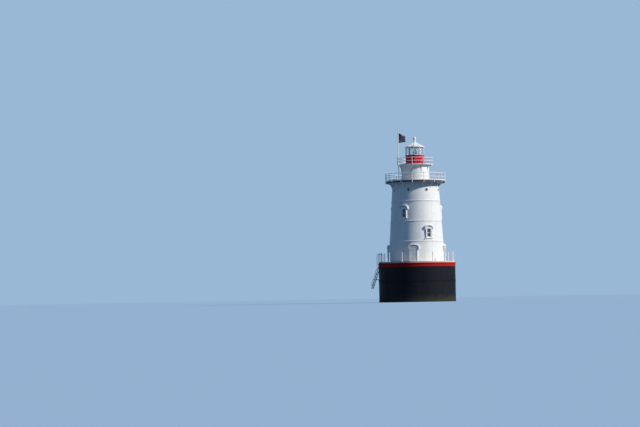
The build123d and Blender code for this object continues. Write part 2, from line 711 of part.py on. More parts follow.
def railing(count, first, deck_radius, deck_plate, level, height, edge_depth, bays, toe, closed):
    """One railing panel of some posts' bays, standing outside the deck's edge.

    A closed panel has a post at both ends; an open one runs up to its neighbours'. A toe
    board of the height toe runs along the deck from post to post."""
    reach = rail_reach(deck_radius, deck_plate)
    step = 360 / count
    half = bays * step / 2
    top = level + height
    foot = level - edge_depth
    post_height = top + POST_RISE - foot

    def post():
        bar = Pos(0, -reach, foot) * Cylinder(POST_RADIUS, post_height, align=FROM_START)
        shoe = block(-SHOE_WIDTH / 2, SHOE_WIDTH / 2, deck_radius - SHOE_WIDTH, reach,
                     foot, min(foot + SHOE_HEIGHT, level - deck_plate / 2))
        return bar + outward(shoe, lambda _: deck_radius, foot - 1, level)

    outlines = [Pos(reach, rail_height) * Circle(RAIL_RADIUS)
                for rail_height in (top, level + height / 2)]
    if toe:
        outlines.append(Pos(reach, level + toe / 2) * Rectangle(TOE_BOARD_THICKNESS, toe))
    rails = None
    for outline in outlines:
        arc = Rot(0, 0, first - half - 90) * revolve(Plane.XZ * outline, Axis.Z, 2 * half)
        rails = arc if rails is None else rails + arc
    ends = [first - half, first + half]
    inner = [first - half + (i + 1) * step for i in range(bays - 1)]
    for bearing in inner + (ends if closed else []):
        rails += Rot(0, 0, bearing) * post()
    if not closed:
        for bearing in ends:
            rails -= Rot(0, 0, bearing) * Pos(0, -reach, foot) * Cylinder(
                POST_RADIUS, post_height, align=FROM_START)
    return rails


def railings(count, first, radius, plate, level, height, edge_depth, bays, toe):
    """Closed and open panels by turns all the way round."""
    step = 360 / count
    closed = []
    opened = []
    for i in range(0, count, bays):
        middle = first + (i + bays / 2) * step
        is_closed = (i // bays) % 2 == 0
        (closed if is_closed else opened).append(
            railing(count, middle, radius, plate, level, height, edge_depth, bays, toe, is_closed))
    return closed, opened


def main_gallery():
    deck = gallery_deck(GALLERY_RADIUS, GALLERY, GALLERY_PLATE, GALLERY_FASCIA,
                        GALLERY_FASCIA_DEPTH)
    soffit = GALLERY - GALLERY_PLATE
    rib = bracket(soffit, tower_radius(soffit), tower_radius(soffit - BRACKET_DROP),
                  BRACKET_REACH, BRACKET_DROP, BRACKET_NOSE, BRACKET_THICKNESS)
    step = 360 / GALLERY_POSTS
    ribs = [Rot(0, 0, GALLERY_POST_FIRST + i * step) * rib for i in range(GALLERY_POSTS)]
    closed, opened = railings(GALLERY_POSTS, GALLERY_POST_FIRST, GALLERY_RADIUS, GALLERY_PLATE,
                              GALLERY, GALLERY_RAIL_HEIGHT, GALLERY_FASCIA_DEPTH, 2,
                              TOE_BOARD)
    return {"main_gallery_deck": [deck], "main_gallery_brackets": ribs,
            "main_gallery_rails_a": closed, "main_gallery_rails_b": opened}


def watch_room():
    """The round room between the galleries, of plates with a door at the back."""
    high = LANTERN_GALLERY - LANTERN_GALLERY_PLATE
    inner = WATCH_RADIUS - WATCH_WALL
    side = WATCH_DOOR_WIDTH / 2
    sill_height = GALLERY + WATCH_DOOR_SILL
    head = sill_height + WATCH_DOOR_HEIGHT
    hole = block(-side, side, inner / 2, WATCH_RADIUS * 2, sill_height, head)
    hole = Rot(0, 0, WATCH_DOOR_BEARING) * hole
    plates = []
    for i in range(PLATES_ROUND):
        plates.append(turned([(inner, GALLERY), (WATCH_RADIUS, GALLERY), (WATCH_RADIUS, high),
                              (inner, high)], WATCH_SEAM + i * PLATE_ARC, PLATE_ARC) - hole)
    face = WATCH_RADIUS + WATCH_CASING_PROJECTION
    casing = block(-side - WATCH_CASING, side + WATCH_CASING, inner, face,
                   sill_height - WATCH_DOOR_SILL, head + WATCH_CASING)
    casing = outward(casing, lambda _: WATCH_RADIUS, GALLERY - 1, LANTERN_GALLERY)
    casing -= block(-side, side, 0, face + 1, sill_height, head)
    door_face = hypot(inner, side) + WATCH_WALL / 3
    door = block(-side, side, door_face - WATCH_WALL / 2, door_face, sill_height, head)
    door -= block(-side + WATCH_CASING, side - WATCH_CASING, door_face - DOOR_PANEL_SINK,
                  door_face + 1, sill_height + WATCH_CASING, head - WATCH_CASING)
    return {"watch_room_plates_a": plates[0::2], "watch_room_plates_b": plates[1::2],
            "watch_room_casing": at(WATCH_DOOR_BEARING, casing),
            "watch_room_door": at(WATCH_DOOR_BEARING, door)}


def lantern_gallery():
    deck = gallery_deck(LANTERN_GALLERY_RADIUS, LANTERN_GALLERY, LANTERN_GALLERY_PLATE,
                        LANTERN_FASCIA, LANTERN_FASCIA_DEPTH)
    soffit = LANTERN_GALLERY - LANTERN_GALLERY_PLATE
    rib = bracket(soffit, WATCH_RADIUS, WATCH_RADIUS, COVE_REACH - LANTERN_FASCIA, COVE_DROP,
                  COVE_NOSE, COVE_THICKNESS)
    step = 360 / LANTERN_POSTS
    ribs = [Rot(0, 0, LANTERN_POST_FIRST + i * step) * rib for i in range(LANTERN_POSTS)]
    closed, opened = railings(LANTERN_POSTS, LANTERN_POST_FIRST, LANTERN_GALLERY_RADIUS,
                              LANTERN_GALLERY_PLATE, LANTERN_GALLERY, LANTERN_RAIL_HEIGHT,
                              LANTERN_FASCIA_DEPTH, 1, 0)
    return {"lantern_gallery_deck": [deck], "lantern_gallery_brackets": ribs,
            "lantern_gallery_rails_a": closed, "lantern_gallery_rails_b": opened}


# Lantern

def corner(i):
    return LANTERN_FIRST + i * 360 / LANTERN_SIDES


def lantern():
    """Ten parapet panels, the mullions and panes over them, and the panelled roof."""
    wall = PARAPET_WALL / cos(radians(180 / LANTERN_SIDES))
    panels = []
    mullions = []
    panes = []
    bar = block(-MULLION_WIDTH / 2, MULLION_WIDTH / 2, LANTERN_RADIUS - MULLION_DEPTH,
                LANTERN_RADIUS, PARAPET_TOP, EAVE)
    for i in range(LANTERN_SIDES):
        start = corner(i)
        end = corner(i + 1)
        side = panel(start, end, LANTERN_RADIUS, LANTERN_RADIUS - wall, LANTERN_GALLERY,
                     PARAPET_TOP - PARAPET_CAP_DEPTH)
        cap = panel(start, end, LANTERN_RADIUS + PARAPET_CAP, LANTERN_RADIUS - wall - PARAPET_CAP,
                    PARAPET_TOP - PARAPET_CAP_DEPTH, PARAPET_TOP)
        panels.append(side + cap)
        mullions += at(start, bar)
        glass_far = LANTERN_RADIUS - (MULLION_DEPTH - LANTERN_PANE) / 2
        pane = panel(start, end, glass_far, glass_far - LANTERN_PANE, PARAPET_TOP, EAVE)
        for bearing in (start, end):
            pane -= Rot(0, 0, bearing) * bar
        panes.append(pane)
    return {"lantern_parapet_a": panels[0::2], "lantern_parapet_b": panels[1::2],
            "lantern_mullions": mullions, "lantern_glass": panes, "lantern_roof": [roof()],
            "ventilator": [ventilator()], "beacon": [beacon()]}


def decagon(radius, height):
    """A ten-sided face with its corners over the lantern's."""
    turn = LANTERN_FIRST - 90
    return Pos(0, 0, height) * Rot(0, 0, turn) * RegularPolygon(radius, LANTERN_SIDES)


def roof():
    """A ten-sided roof whose slope steepens to a neck, hollow under its panels."""
    eave = LANTERN_RADIUS + EAVE_PROJECTION
    top = EAVE + EAVE_DEPTH + ROOF_RISE
    knee = eave * ROOF_KNEE_RADIUS
    knee_top = EAVE + EAVE_DEPTH + ROOF_RISE * ROOF_KNEE_RISE
    outer = [(eave, EAVE), (eave, EAVE + EAVE_DEPTH), (knee, knee_top),
             (ROOF_NECK_RADIUS, top)]
    inner = [(LANTERN_RADIUS - MULLION_DEPTH, EAVE - 1),
             (LANTERN_RADIUS - MULLION_DEPTH, EAVE + ROOF_SHELL),
             (knee - ROOF_SHELL, knee_top - ROOF_SHELL),
             (ROOF_NECK_RADIUS - ROOF_SHELL, top + 1)]

    def shape(rows):
        body = None
        for low, high in zip(rows, rows[1:]):
            part = loft([decagon(*low), decagon(*high)], ruled=True)
            body = part if body is None else body + part
        return body
    return shape(outer) - shape(inner)


def ventilator():
    """Cap, neck and ball on top of the roof, with a short spike."""
    base = EAVE + EAVE_DEPTH + ROOF_RISE
    lower = (VENT_BALL_RADIUS**2 - VENT_NECK_RADIUS**2) ** 0.5
    ball = base + VENT_NECK + lower
    body = turned([(0, base), (ROOF_NECK_RADIUS, base), (ROOF_NECK_RADIUS, base + EAVE_DEPTH / 2),
                   (VENT_NECK_RADIUS, base + EAVE_DEPTH), (VENT_NECK_RADIUS, ball - lower / 2),
                   (0, ball)])
    body += Pos(0, 0, ball) * Sphere(VENT_BALL_RADIUS)
    spike = ball + VENT_BALL_RADIUS
    body += turned([(0, ball), (VENT_NECK_RADIUS / 3, ball), (VENT_NECK_RADIUS / 3, spike),
                    (VENT_NECK_RADIUS / 8, spike + VENT_SPIKE), (0, spike + VENT_SPIKE)])
    return body


def beacon():
    """A small lens on a post in the middle of the lantern."""
    foot = LANTERN_GALLERY
    post_top = foot + BEACON_POST
    lens_top = post_top + BEACON_LENS
    waist = BEACON_LENS_RADIUS * BEACON_WAIST
    taper = BEACON_LENS * BEACON_SHOULDER
    return turned([
        (0, foot), (BEACON_FOOT_RADIUS, foot), (BEACON_FOOT_RADIUS, foot + BEACON_FOOT),
        (BEACON_POST_RADIUS, foot + BEACON_FOOT), (BEACON_POST_RADIUS, post_top),
        (waist, post_top), (BEACON_LENS_RADIUS, post_top + taper),
        (BEACON_LENS_RADIUS, lens_top - taper), (waist, lens_top), (0, lens_top)])


# Flagpole and flag

def flag_parts():
    rail = rail_reach(LANTERN_GALLERY_RADIUS, LANTERN_GALLERY_PLATE)
    reach = rail + RAIL_RADIUS + POLE_GAP + POLE_FOOT_RADIUS
    flag_foot = EAVE + EAVE_DEPTH + FLAG_LIFT
    flag_top = flag_foot + FLAG_HOIST
    pole_top = flag_top + POLE_OVER_FLAG
    shoe = GALLERY + POLE_SHOE
    pole = Pos(0, -reach, 0) * turned([
        (0, GALLERY), (POLE_FOOT_RADIUS * 2, GALLERY), (POLE_FOOT_RADIUS * 2, shoe),
        (POLE_FOOT_RADIUS, shoe), (POLE_TOP_RADIUS, pole_top), (0, pole_top)])
    pole += Pos(0, -reach, pole_top + TRUCK_RADIUS / 2) * Sphere(TRUCK_RADIUS)
    clamp_top = LANTERN_GALLERY - LANTERN_GALLERY_PLATE / 2
    clamp_low = LANTERN_GALLERY - LANTERN_FASCIA_DEPTH
    grip = POLE_FOOT_RADIUS + CLAMP_GRIP
    clamp = block(-grip, grip, LANTERN_GALLERY_RADIUS - grip, reach + grip, clamp_low, clamp_top)
    pole += outward(clamp, lambda _: LANTERN_GALLERY_RADIUS, clamp_low, clamp_top)

    start = POLE_FOOT_RADIUS + CLIP_GAP
    third = FLAG_FLY / 3
    swing = FLAG_FLY * FLAG_SWING
    crests = [start + FLAG_FLY * share for share in FLAG_BENDS]
    wave = Spline((start, 0), (crests[0], swing), (crests[1], -swing),
                  (start + FLAG_FLY, swing / 2))
    half = FLAG_THICKNESS / 2
    side = [Pos(0, offset) * wave for offset in (half, -half)]
    ends = [Line(side[0] @ t, side[1] @ t) for t in (0, 1)]
    cloth = Pos(0, 0, flag_foot) * extrude(make_face(Curve(children=[*side, *ends])), FLAG_HOIST)
    far = start + FLAG_FLY
    droop = make_face(Plane.XZ * Polyline(
        (start + third, flag_top), (far, flag_top - FLAG_DROOP), (far, flag_top + third),
        (start + third, flag_top + third), close=True))
    cloth -= extrude(droop, FLAG_FLY, both=True)
    clips = []
    for height in (flag_top - CLIP_INSET, flag_foot + CLIP_INSET):
        clip = Pos(POLE_TOP_RADIUS, 0, height) * Rot(0, 90, 0) * Cylinder(
            CLIP_RADIUS, start - POLE_TOP_RADIUS + half, align=FROM_START)
        clips.append(clip)
    turn = Rot(0, 0, FLAG_HEADING)
    place = Rot(0, 0, POLE_BEARING) * Pos(0, -reach, 0) * Rot(0, 0, -POLE_BEARING)
    cloth = place * turn * cloth
    pole = Rot(0, 0, POLE_BEARING) * pole
    clips = [place * turn * clip - cloth - pole for clip in clips]
    return {"flagpole": [pole], "flag": [cloth], "flag_clips": clips}


# Boat ladder

def ladder_reach(height):
    """Distance of the stiles' inner edge from the axis at a height."""
    top = CAISSON_RADIUS + RIM_LIP + LADDER_TOP_GAP
    foot = CAISSON_RADIUS + LADDER_FOOT_REACH
    return top + (foot - top) * (RIM_TOP - height) / (RIM_TOP - LADDER_FOOT)


def rod(near, far, radius):
    """A round bar in front of the axis between two (radius, height) points."""
    line = Plane.XZ * Line(near, far)
    start = Plane(line @ 0, z_dir=line % 0)
    return Rot(0, 0, -90) * sweep(start * Circle(radius), line)


def ladder_parts():
    """A sloping ladder hooked on the rim and strutted off the caisson, with handrails."""
    top = RIM_TOP + LADDER_HOOK
    run = ladder_reach(LADDER_FOOT) - ladder_reach(top)
    length = hypot(run, top - LADDER_FOOT)
    thick = LADDER_STILE_DEPTH * length / (top - LADDER_FOOT)
    outline = [(ladder_reach(LADDER_FOOT), LADDER_FOOT),
               (ladder_reach(LADDER_FOOT) + thick, LADDER_FOOT),
               (ladder_reach(top) + thick, top), (ladder_reach(top), top)]
    half = LADDER_WIDTH / 2
    strut_low = STRUT_HEIGHT - STRUT_DROP
    ladder = None
    stiles = []
    for x in (-half, half):
        stile = upright(outline, LADDER_STILE, x)
        hook = block(x - LADDER_STILE, x + LADDER_STILE, CORE_RADIUS + SEAT,
                     ladder_reach(top) + LADDER_STILE, RIM_TOP, top)
        bar = rod((CORE_RADIUS, strut_low), (ladder_reach(STRUT_HEIGHT) + thick / 2, STRUT_HEIGHT),
                  STRUT_RADIUS)
        strut = outward(Pos(x, 0, 0) * bar, lambda _: CAISSON_RADIUS, CAISSON_SEAM / 2, RIM_LOW)
        stiles.append(stile)
        side = stile + outward(hook, lambda _: CORE_RADIUS + SEAT, RIM_TOP - 1, top + 1) + strut
        ladder = side if ladder is None else ladder + side
    count = int((RIM_TOP - LADDER_FOOT) // RUNG_PITCH)
    for i in range(count):
        height = LADDER_FOOT + RUNG_PITCH / 2 + i * RUNG_PITCH
        ladder += Pos(0, -ladder_reach(height) - thick / 2, height) * Rot(0, 90, 0) * Cylinder(
            RUNG_RADIUS, LADDER_WIDTH)
    rails = []
    shift = HANDRAIL_OFFSET + thick
    foot = CAISSON_RADIUS + RIM_LIP - HANDRAIL_INSET
    crest = DECK + HANDRAIL_HEIGHT
    knee = ladder_reach(RIM_TOP) + thick + HANDRAIL_BULGE
    slope = (RIM_TOP - LADDER_FOOT) / (ladder_reach(LADDER_FOOT) - ladder_reach(RIM_TOP))
    knee_low = RIM_TOP - (HANDRAIL_BULGE - HANDRAIL_OFFSET) * slope
    low_end = (ladder_reach(HANDRAIL_LOW) + shift, HANDRAIL_LOW)
    return_foot = HANDRAIL_LOW - HANDRAIL_OFFSET
    stile_end = (ladder_reach(return_foot) + thick / 2, return_foot)
    path = FilletPolyline((foot, DECK), (foot, crest), (knee, crest), (knee, knee_low), low_end,
                          radius=HANDRAIL_BEND)
    route = Plane.XZ * path
    start = Plane(route @ 0, z_dir=route % 0)
    tube = Rot(0, 0, -90) * sweep(start * Circle(HANDRAIL_RADIUS), route)
    turn = Rot(0, 0, -90) * (Plane.XZ * Pos(*low_end) * Sphere(HANDRAIL_RADIUS))
    tube += turn + rod(low_end, stile_end, HANDRAIL_RADIUS)
    middle = (RIM_TOP + HANDRAIL_LOW) / 2
    bar = Cylinder(HANDRAIL_STAY_RADIUS, shift - thick / 2, align=FROM_START)
    stay = Pos(0, -ladder_reach(middle) - thick / 2, middle) * Rot(90, 0, 0) * bar
    for x, stile in zip((-half, half), stiles):
        rails.append(Pos(x, 0, 0) * (tube + stay) - stile)
    return {"boat_ladder": at(LADDER_BEARING, ladder),
            "ladder_handrails": at(LADDER_BEARING, *rails)}


def model():
    nodes = {}
    nodes.update(caisson_parts())
    nodes["deck_stanchions"] = stanchions()
    nodes.update(first_course())
    nodes.update(upper_courses())
    nodes["course_bands"] = bands()
    nodes["storey_floors"] = floors()
    nodes.update(openings())
    nodes["front_door"] = at(DOOR_BEARINGS[0], leaf())
    nodes["back_door"] = at(DOOR_BEARINGS[1], leaf())
    pintles = [pintle(height) for height in HINGE_HEIGHTS]
    nodes["door_pintles"] = [p for b in DOOR_BEARINGS for p in at(b, *pintles)]
    nodes.update(portholes())
    nodes.update(main_gallery())
    nodes.update(watch_room())
    nodes.update(lantern_gallery())
    nodes.update(lantern())
    nodes.update(flag_parts())
    nodes.update(ladder_parts())
    return nodes


os.makedirs("parts", exist_ok=True)
for name, solids in model().items():
    shape = solids[0] if len(solids) == 1 else Compound(children=solids)
    export_step(shape, "parts/" + name + ".step")
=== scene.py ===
import cmath
import math
from functools import partial

import bmesh
import bpy
from mathutils import Matrix, Vector


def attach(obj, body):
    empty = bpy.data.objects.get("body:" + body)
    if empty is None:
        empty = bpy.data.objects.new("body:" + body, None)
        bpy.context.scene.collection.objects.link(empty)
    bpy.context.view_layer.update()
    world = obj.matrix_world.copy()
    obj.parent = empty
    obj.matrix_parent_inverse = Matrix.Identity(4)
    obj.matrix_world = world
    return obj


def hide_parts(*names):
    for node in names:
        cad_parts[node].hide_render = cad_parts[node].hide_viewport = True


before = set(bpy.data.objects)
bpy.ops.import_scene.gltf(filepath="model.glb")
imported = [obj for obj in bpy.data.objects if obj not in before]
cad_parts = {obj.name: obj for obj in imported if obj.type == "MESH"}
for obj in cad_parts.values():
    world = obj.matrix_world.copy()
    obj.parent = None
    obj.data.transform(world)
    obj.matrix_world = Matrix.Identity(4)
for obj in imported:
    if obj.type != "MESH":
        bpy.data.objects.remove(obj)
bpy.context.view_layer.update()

# Camera
# A long lens a little to the right of the front door and low down, far enough off that the
# tower's uprights stay parallel. It leans by one degree, as the photograph does.
CAMERA_AZIMUTH = 6.0
CAMERA_DISTANCE = 250.0
CAMERA_HEIGHT = 0.6
CAMERA_PITCH = 2.33
CAMERA_YAW = 2.63
CAMERA_LEAN = 1.0


def linked(name, data):
    """A new object in the scene."""
    made = bpy.data.objects.new(name, data)
    bpy.context.collection.objects.link(made)
    return made


def turned(degrees, axis="Z"):
    return Matrix.Rotation(math.radians(degrees), 4, axis)


def moved(x, y, z):
    return Matrix.Translation((x, y, z))


lens = bpy.data.cameras.new("camera")
lens.sensor_width = 36.0
lens.lens = 117.6
lens.clip_start = 1.0
lens.clip_end = 2500.0
camera = linked("camera", lens)
camera.matrix_world = (
    turned(CAMERA_AZIMUTH) @ moved(0, -CAMERA_DISTANCE, CAMERA_HEIGHT) @ turned(CAMERA_YAW)
    @ turned(90 + CAMERA_PITCH, "X") @ turned(-CAMERA_LEAN))
bpy.context.scene.camera = camera

# Light and floor
# One lamp on the right, a third of the way up, with slightly soft shadows, and a dim blue
# room that fills them. The floor and the room are pale to the camera and dim to the object.
KEY_BEARING = 79.0
KEY_HEIGHT = 31.0
BACKDROP = (0.32, 0.48, 0.67, 1)
ROOM = (0.045, 0.115, 0.24, 1)
FLOOR_RADIUS = 900.0


def link(node, inputs):
    """Links sockets to a node's inputs and sets its other inputs to plain values."""
    for key, value in inputs.items():
        if isinstance(value, bpy.types.NodeSocket):
            node.id_data.links.new(value, node.inputs[key])
        else:
            node.inputs[key].default_value = value


def add(tree, kind, inputs=None, **settings):
    """A shader node with its settings, values and links."""
    made = tree.nodes.new("ShaderNode" + kind)
    for key, value in settings.items():
        setattr(made, key, value)
    link(made, inputs or {})
    return made


def home(*values):
    """The node tree that holds the first socket among some values."""
    return next(value.id_data for value in values if isinstance(value, bpy.types.NodeSocket))


def maths(operation, *values, clamp=False):
    return add(home(*values), "Math", dict(enumerate(values)), operation=operation,
               use_clamp=clamp).outputs[0]


def mixed(share, first, second):
    """The two colours mixed by a share."""
    return add(home(share), "Mix", {0: share, 6: first, 7: second}, data_type="RGBA").outputs[2]


def seen(tree):
    """1 for what the camera, a reflection or a pane of glass sees, 0 for what lights."""
    path = add(tree, "LightPath").outputs
    direct = maths("MAXIMUM", path["Is Camera Ray"], path["Is Glossy Ray"])
    return maths("MAXIMUM", direct, path["Is Transmission Ray"])


def emptied(owner):
    """The node tree of a new material or world, with nothing in it."""
    owner.use_nodes = True
    owner.node_tree.nodes.clear()
    return owner.node_tree


lamp = bpy.data.lights.new("key", "SUN")
lamp.energy = 3.9
lamp.angle = math.radians(4)
lamp.color = (1.0, 0.965, 0.91)
linked("key", lamp).matrix_world = turned(KEY_BEARING) @ turned(90 - KEY_HEIGHT, "X")

room = bpy.data.worlds.new("room")
bpy.context.scene.world = room
tree = emptied(room)
glow = add(tree, "Background", {"Color": mixed(seen(tree), ROOM, BACKDROP), "Strength": 1.0})
add(tree, "OutputWorld", {"Surface": glow.outputs[0]})


def shaded(name):
    """A new node material and its empty tree."""
    material = bpy.data.materials.new(name)
    return material, emptied(material)


def surfaced(tree, color, roughness, relief=None, depth=0.004, strength=0.7, **plain):
    """Ends a material with its shader; depth and strength are those of its relief."""
    inputs = {"Base Color": color, "Roughness": roughness}
    for label, value in plain.items():
        inputs[label.replace("_", " ")] = value
    if relief is not None:
        inputs["Normal"] = add(tree, "Bump", {
            "Height": relief, "Distance": depth, "Strength": strength}).outputs[0]
    shader = add(tree, "BsdfPrincipled", inputs)
    add(tree, "OutputMaterial", {"Surface": shader.outputs[0]})


def object_place(tree):
    return add(tree, "TexCoord").outputs["Object"]


def noise(place, scale, detail=4.0, roughness=0.55):
    return add(home(place), "TexNoise", {
        "Vector": place, "Scale": scale, "Detail": detail, "Roughness": roughness}).outputs[0]


def solid(name, mesh, material):
    """A new object from a mesh, in one material."""
    data = bpy.data.meshes.new(name)
    mesh.to_mesh(data)
    mesh.free()
    data.materials.append(material)
    return linked(name, data)


floor_paint, tree = shaded("floor_paint")
speckle = noise(object_place(tree), 0.15, 3)
pale = mixed(speckle, (0.42, 0.58, 0.75, 1), (0.44, 0.60, 0.77, 1))
surfaced(tree, mixed(seen(tree), (0.14, 0.22, 0.32, 1), pale), 0.9, Specular_IOR_Level=0.1)
disc = bmesh.new()
bmesh.ops.create_circle(disc, cap_ends=True, segments=96, radius=FLOOR_RADIUS)
solid("floor", disc, floor_paint)

# Caisson
# A drum of cast-iron plates in two rows, bolted edge to edge and filled with concrete. It is
# painted black; water has dulled the paint and left a salty foot, weed and spots of rust.
CAISSON_RADIUS = 4.572
CAISSON_SEAM = 2.46
CAISSON_TOP_SEAM = 3.92
CAISSON_PLATES = 12
CAISSON_JOINT = 15.0
CAISSON_STEPS = 192
BOLT = 0.024
BOLT_PITCH = 0.205
BOLT_ASIDE = 1.15
BOLT_LINES = ((0.28, 11), (2.64, 7))

times = partial(maths, "MULTIPLY")
plus = partial(maths, "ADD")
minus = partial(maths, "SUBTRACT")


def length(x, y):
    return maths("SQRT", plus(maths("POWER", x, 2.0), maths("POWER", y, 2.0)))


def eased(value, low, high, start=0.0, end=1.0):
    """A smooth step from start to end as the value goes from low to high."""
    return add(home(value), "MapRange", {
        "Value": value, "From Min": low, "From Max": high, "To Min": start, "To Max": end},
        interpolation_type="SMOOTHSTEP").outputs[0]


def split(vector):
    return add(home(vector), "SeparateXYZ", {0: vector}).outputs


def scaled(place, by):
    return add(home(place), "VectorMath", {0: place, 1: by}, operation="MULTIPLY").outputs[0]


def group(name, inputs, outputs):
    """A shader node group, what it is given, and the node that takes its results."""
    tree = bpy.data.node_groups.new(name, "ShaderNodeTree")
    for way, labels in (("INPUT", inputs), ("OUTPUT", outputs)):
        for label in labels:
            kind = "NodeSocketColor" if "Color" in label else "NodeSocketFloat"
            tree.interface.new_socket(label, in_out=way, socket_type=kind)
    return tree, tree.nodes.new("NodeGroupInput").outputs, tree.nodes.new("NodeGroupOutput")


# weathered paint: brushed coats over cast iron, with patches, runs of dirt and a fine grain
weathered, given, result = group(
    "weathered paint", ("Color", "Dirt Color", "Patches", "Runs", "Scale", "Gloss"),
    ("Color", "Roughness", "Height", "Dirt"))
place = object_place(weathered)
sized = scaled(place, given["Scale"])
patches = eased(noise(sized, 0.9, 7, 0.62), 0.42, 0.70)
thin_runs = noise(scaled(sized, (7.0, 7.0, 0.30)), 1.0, 5)
broad_runs = noise(scaled(sized, (2.2, 2.2, 0.22)), 1.0, 3)
runs = times(eased(thin_runs, 0.48, 0.74), eased(broad_runs, 0.40, 0.66))
dirt = plus(times(patches, given["Patches"]), times(runs, given["Runs"]), clamp=True)
brushed = noise(sized, 3.1, 4)
fine = noise(place, 42.0, 4, 0.6)
tone = mixed(eased(brushed, 0.3, 0.7, 0.0, 0.16), given["Color"], given["Dirt Color"])
rough = plus(minus(0.86, times(given["Gloss"], 0.6)), times(dirt, 0.18))
link(result, {"Color": mixed(dirt, tone, given["Dirt Color"]),
              "Roughness": plus(rough, eased(fine, 0.2, 0.8, -0.05, 0.05)),
              "Height": plus(times(fine, 0.5), times(brushed, 1.6)),
              "Dirt": dirt})

# rust spots: small blisters and chips where the paint has let go
rust_spots, given, result = group("rust spots", ("Amount", "Scale"), ("Mask", "Color"))
place = object_place(rust_spots)
spots = noise(scaled(place, given["Scale"]), 5.0, 8, 0.68)
edge = minus(0.80, times(given["Amount"], 0.3))
link(result, {"Mask": eased(minus(spots, edge), 0.0, 0.05),
              "Color": mixed(noise(place, 30.0, 5), (0.10, 0.035, 0.018, 1),
                             (0.34, 0.13, 0.045, 1))})

# plate joints: fine upright grooves where the plates of a round wall meet
plate_joints, given, result = group("plate joints", ("First", "Pitch", "Width"),
                                    ("Line", "Beside"))
x, y, _ = split(object_place(plate_joints))
degrees = minus(maths("DEGREES", maths("ARCTAN2", x, times(y, -1.0))), given["First"])
into = maths("FLOORED_MODULO", degrees, given["Pitch"])
near = maths("MINIMUM", into, minus(given["Pitch"], into))
gap = times(maths("RADIANS", near), length(x, y))
half = maths("DIVIDE", given["Width"], 2.0)
link(result, {"Line": minus(1.0, maths("DIVIDE", gap, half, clamp=True)),
              "Beside": eased(gap, 0.16, 0.0)})

# level stains: dirt that gathers and runs below a ledge, and repeats at every ledge
level_stains, given, result = group("level stains", ("First", "Pitch", "Depth"), ("Stain",))
place = object_place(level_stains)
above = maths("FLOORED_MODULO", minus(split(place)[2], given["First"]), given["Pitch"])
below = maths("DIVIDE", minus(given["Pitch"], above), given["Depth"], clamp=True)
streak = eased(noise(scaled(place, (9.0, 9.0, 0.35)), 1.0, 5), 0.42, 0.72)
link(result, {"Stain": times(maths("POWER", minus(1.0, below), 1.6), streak)})


def placed(tree, kind, **values):
    """The results of one of the groups, used in a material with its own values."""
    made = add(tree, "Group", node_tree=kind)
    link(made, {label.replace("_", " "): value for label, value in values.items()})
    return made.outputs


def layered(shade, *coats):
    """Colours laid over one another, each with its mask and its strength."""
    for mask, strength, color in coats:
        shade = mixed(times(mask, strength), shade, color)
    return shade


def painted(name, color, dirt, patches=0.25, runs=0.3, gloss=0.5, scale=1.0, rust=0.0,
            joints=None, stains=None, bump=0.004, shine=0.4):
    """Painted iron. joints is (first, pitch, width); stains is (first, pitch, depth)."""
    material, tree = shaded(name)
    dark = (*(0.35 * part for part in dirt), 1)
    dirt = (*dirt, 1)
    paint = placed(tree, weathered, Color=(*color, 1), Dirt_Color=dirt, Patches=patches,
                   Runs=runs, Scale=scale, Gloss=gloss)
    shade = paint["Color"]
    height = paint["Height"]
    roughness = paint["Roughness"]
    if stains:
        run = placed(tree, level_stains, First=stains[0], Pitch=stains[1], Depth=stains[2])
        shade = layered(shade, (run["Stain"], 0.55, dirt))
    if joints:
        seam = placed(tree, plate_joints, First=joints[0], Pitch=joints[1], Width=joints[2])
        shade = layered(shade, (seam["Beside"], times(paint["Dirt"], 0.6), dirt),
                        (seam["Line"], 0.8, dark))
        height = minus(height, times(seam["Line"], 3.0))
    if rust:
        spots = placed(tree, rust_spots, Amount=rust, Scale=scale)
        shade = mixed(spots["Mask"], shade, spots["Color"])
        roughness = plus(roughness, times(spots["Mask"], 0.3), clamp=True)
        height = plus(height, times(spots["Mask"], 0.8))
    surfaced(tree, shade, roughness, height, bump, Specular_IOR_Level=shine)
    return material


def dress(material, *names):
    """Gives the CAD nodes a better material in their own slots."""
    for name in names:
        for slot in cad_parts[name].material_slots:
            slot.material = material


def join(whole, part, places):
    """Adds a mesh to another at each place."""
    for place in places:
        copy = part.copy()
        copy.transform(place)
        data = bpy.data.meshes.new("copy")
        copy.to_mesh(data)
        copy.free()
        whole.from_mesh(data)
        bpy.data.meshes.remove(data)
    part.free()


def piece(name, mesh, material, body="tower", smooth=None, around=None):
    """A new object on a body; smooth is its widest soft angle, around repeats it at bearings."""
    if around is not None:
        part, mesh = mesh, bmesh.new()
        join(mesh, part, [turned(bearing) for bearing in around])
    bmesh.ops.recalc_face_normals(mesh, faces=mesh.faces)
    made = solid(name, mesh, material)
    if smooth:
        made.data.shade_smooth()
        made.data.set_sharp_from_angle(angle=math.radians(smooth))
    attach(made, body)
    return made


def spread(count, first=0.0):
    """Bearings at equal steps about the axis."""
    return [first + 360 * i / count for i in range(count)]


def polar(reach, bearing):
    turn = math.radians(bearing)
    return reach * math.sin(turn), -reach * math.cos(turn)


def facing(bearing, radius, height):
    """A place on a round wall, with its own Z axis pointing outward."""
    return turned(bearing) @ moved(0, -radius, height) @ turned(90, "X")


def bolt(mesh, place, radius=BOLT, sides=6):
    """A bolt head on its washer; place has its Z axis out of the surface."""
    for wide, lift, thick, top in ((1.45, 0.0, 0.22, 1.0), (1.0, 0.2, 0.75, 0.86)):
        seat = place @ moved(0, 0, radius * (lift + thick / 2))
        bmesh.ops.create_cone(mesh, cap_ends=True, segments=sides if wide == 1.0 else 10,
                              radius1=radius * wide, radius2=radius * wide * top,
                              depth=radius * thick, matrix=seat)


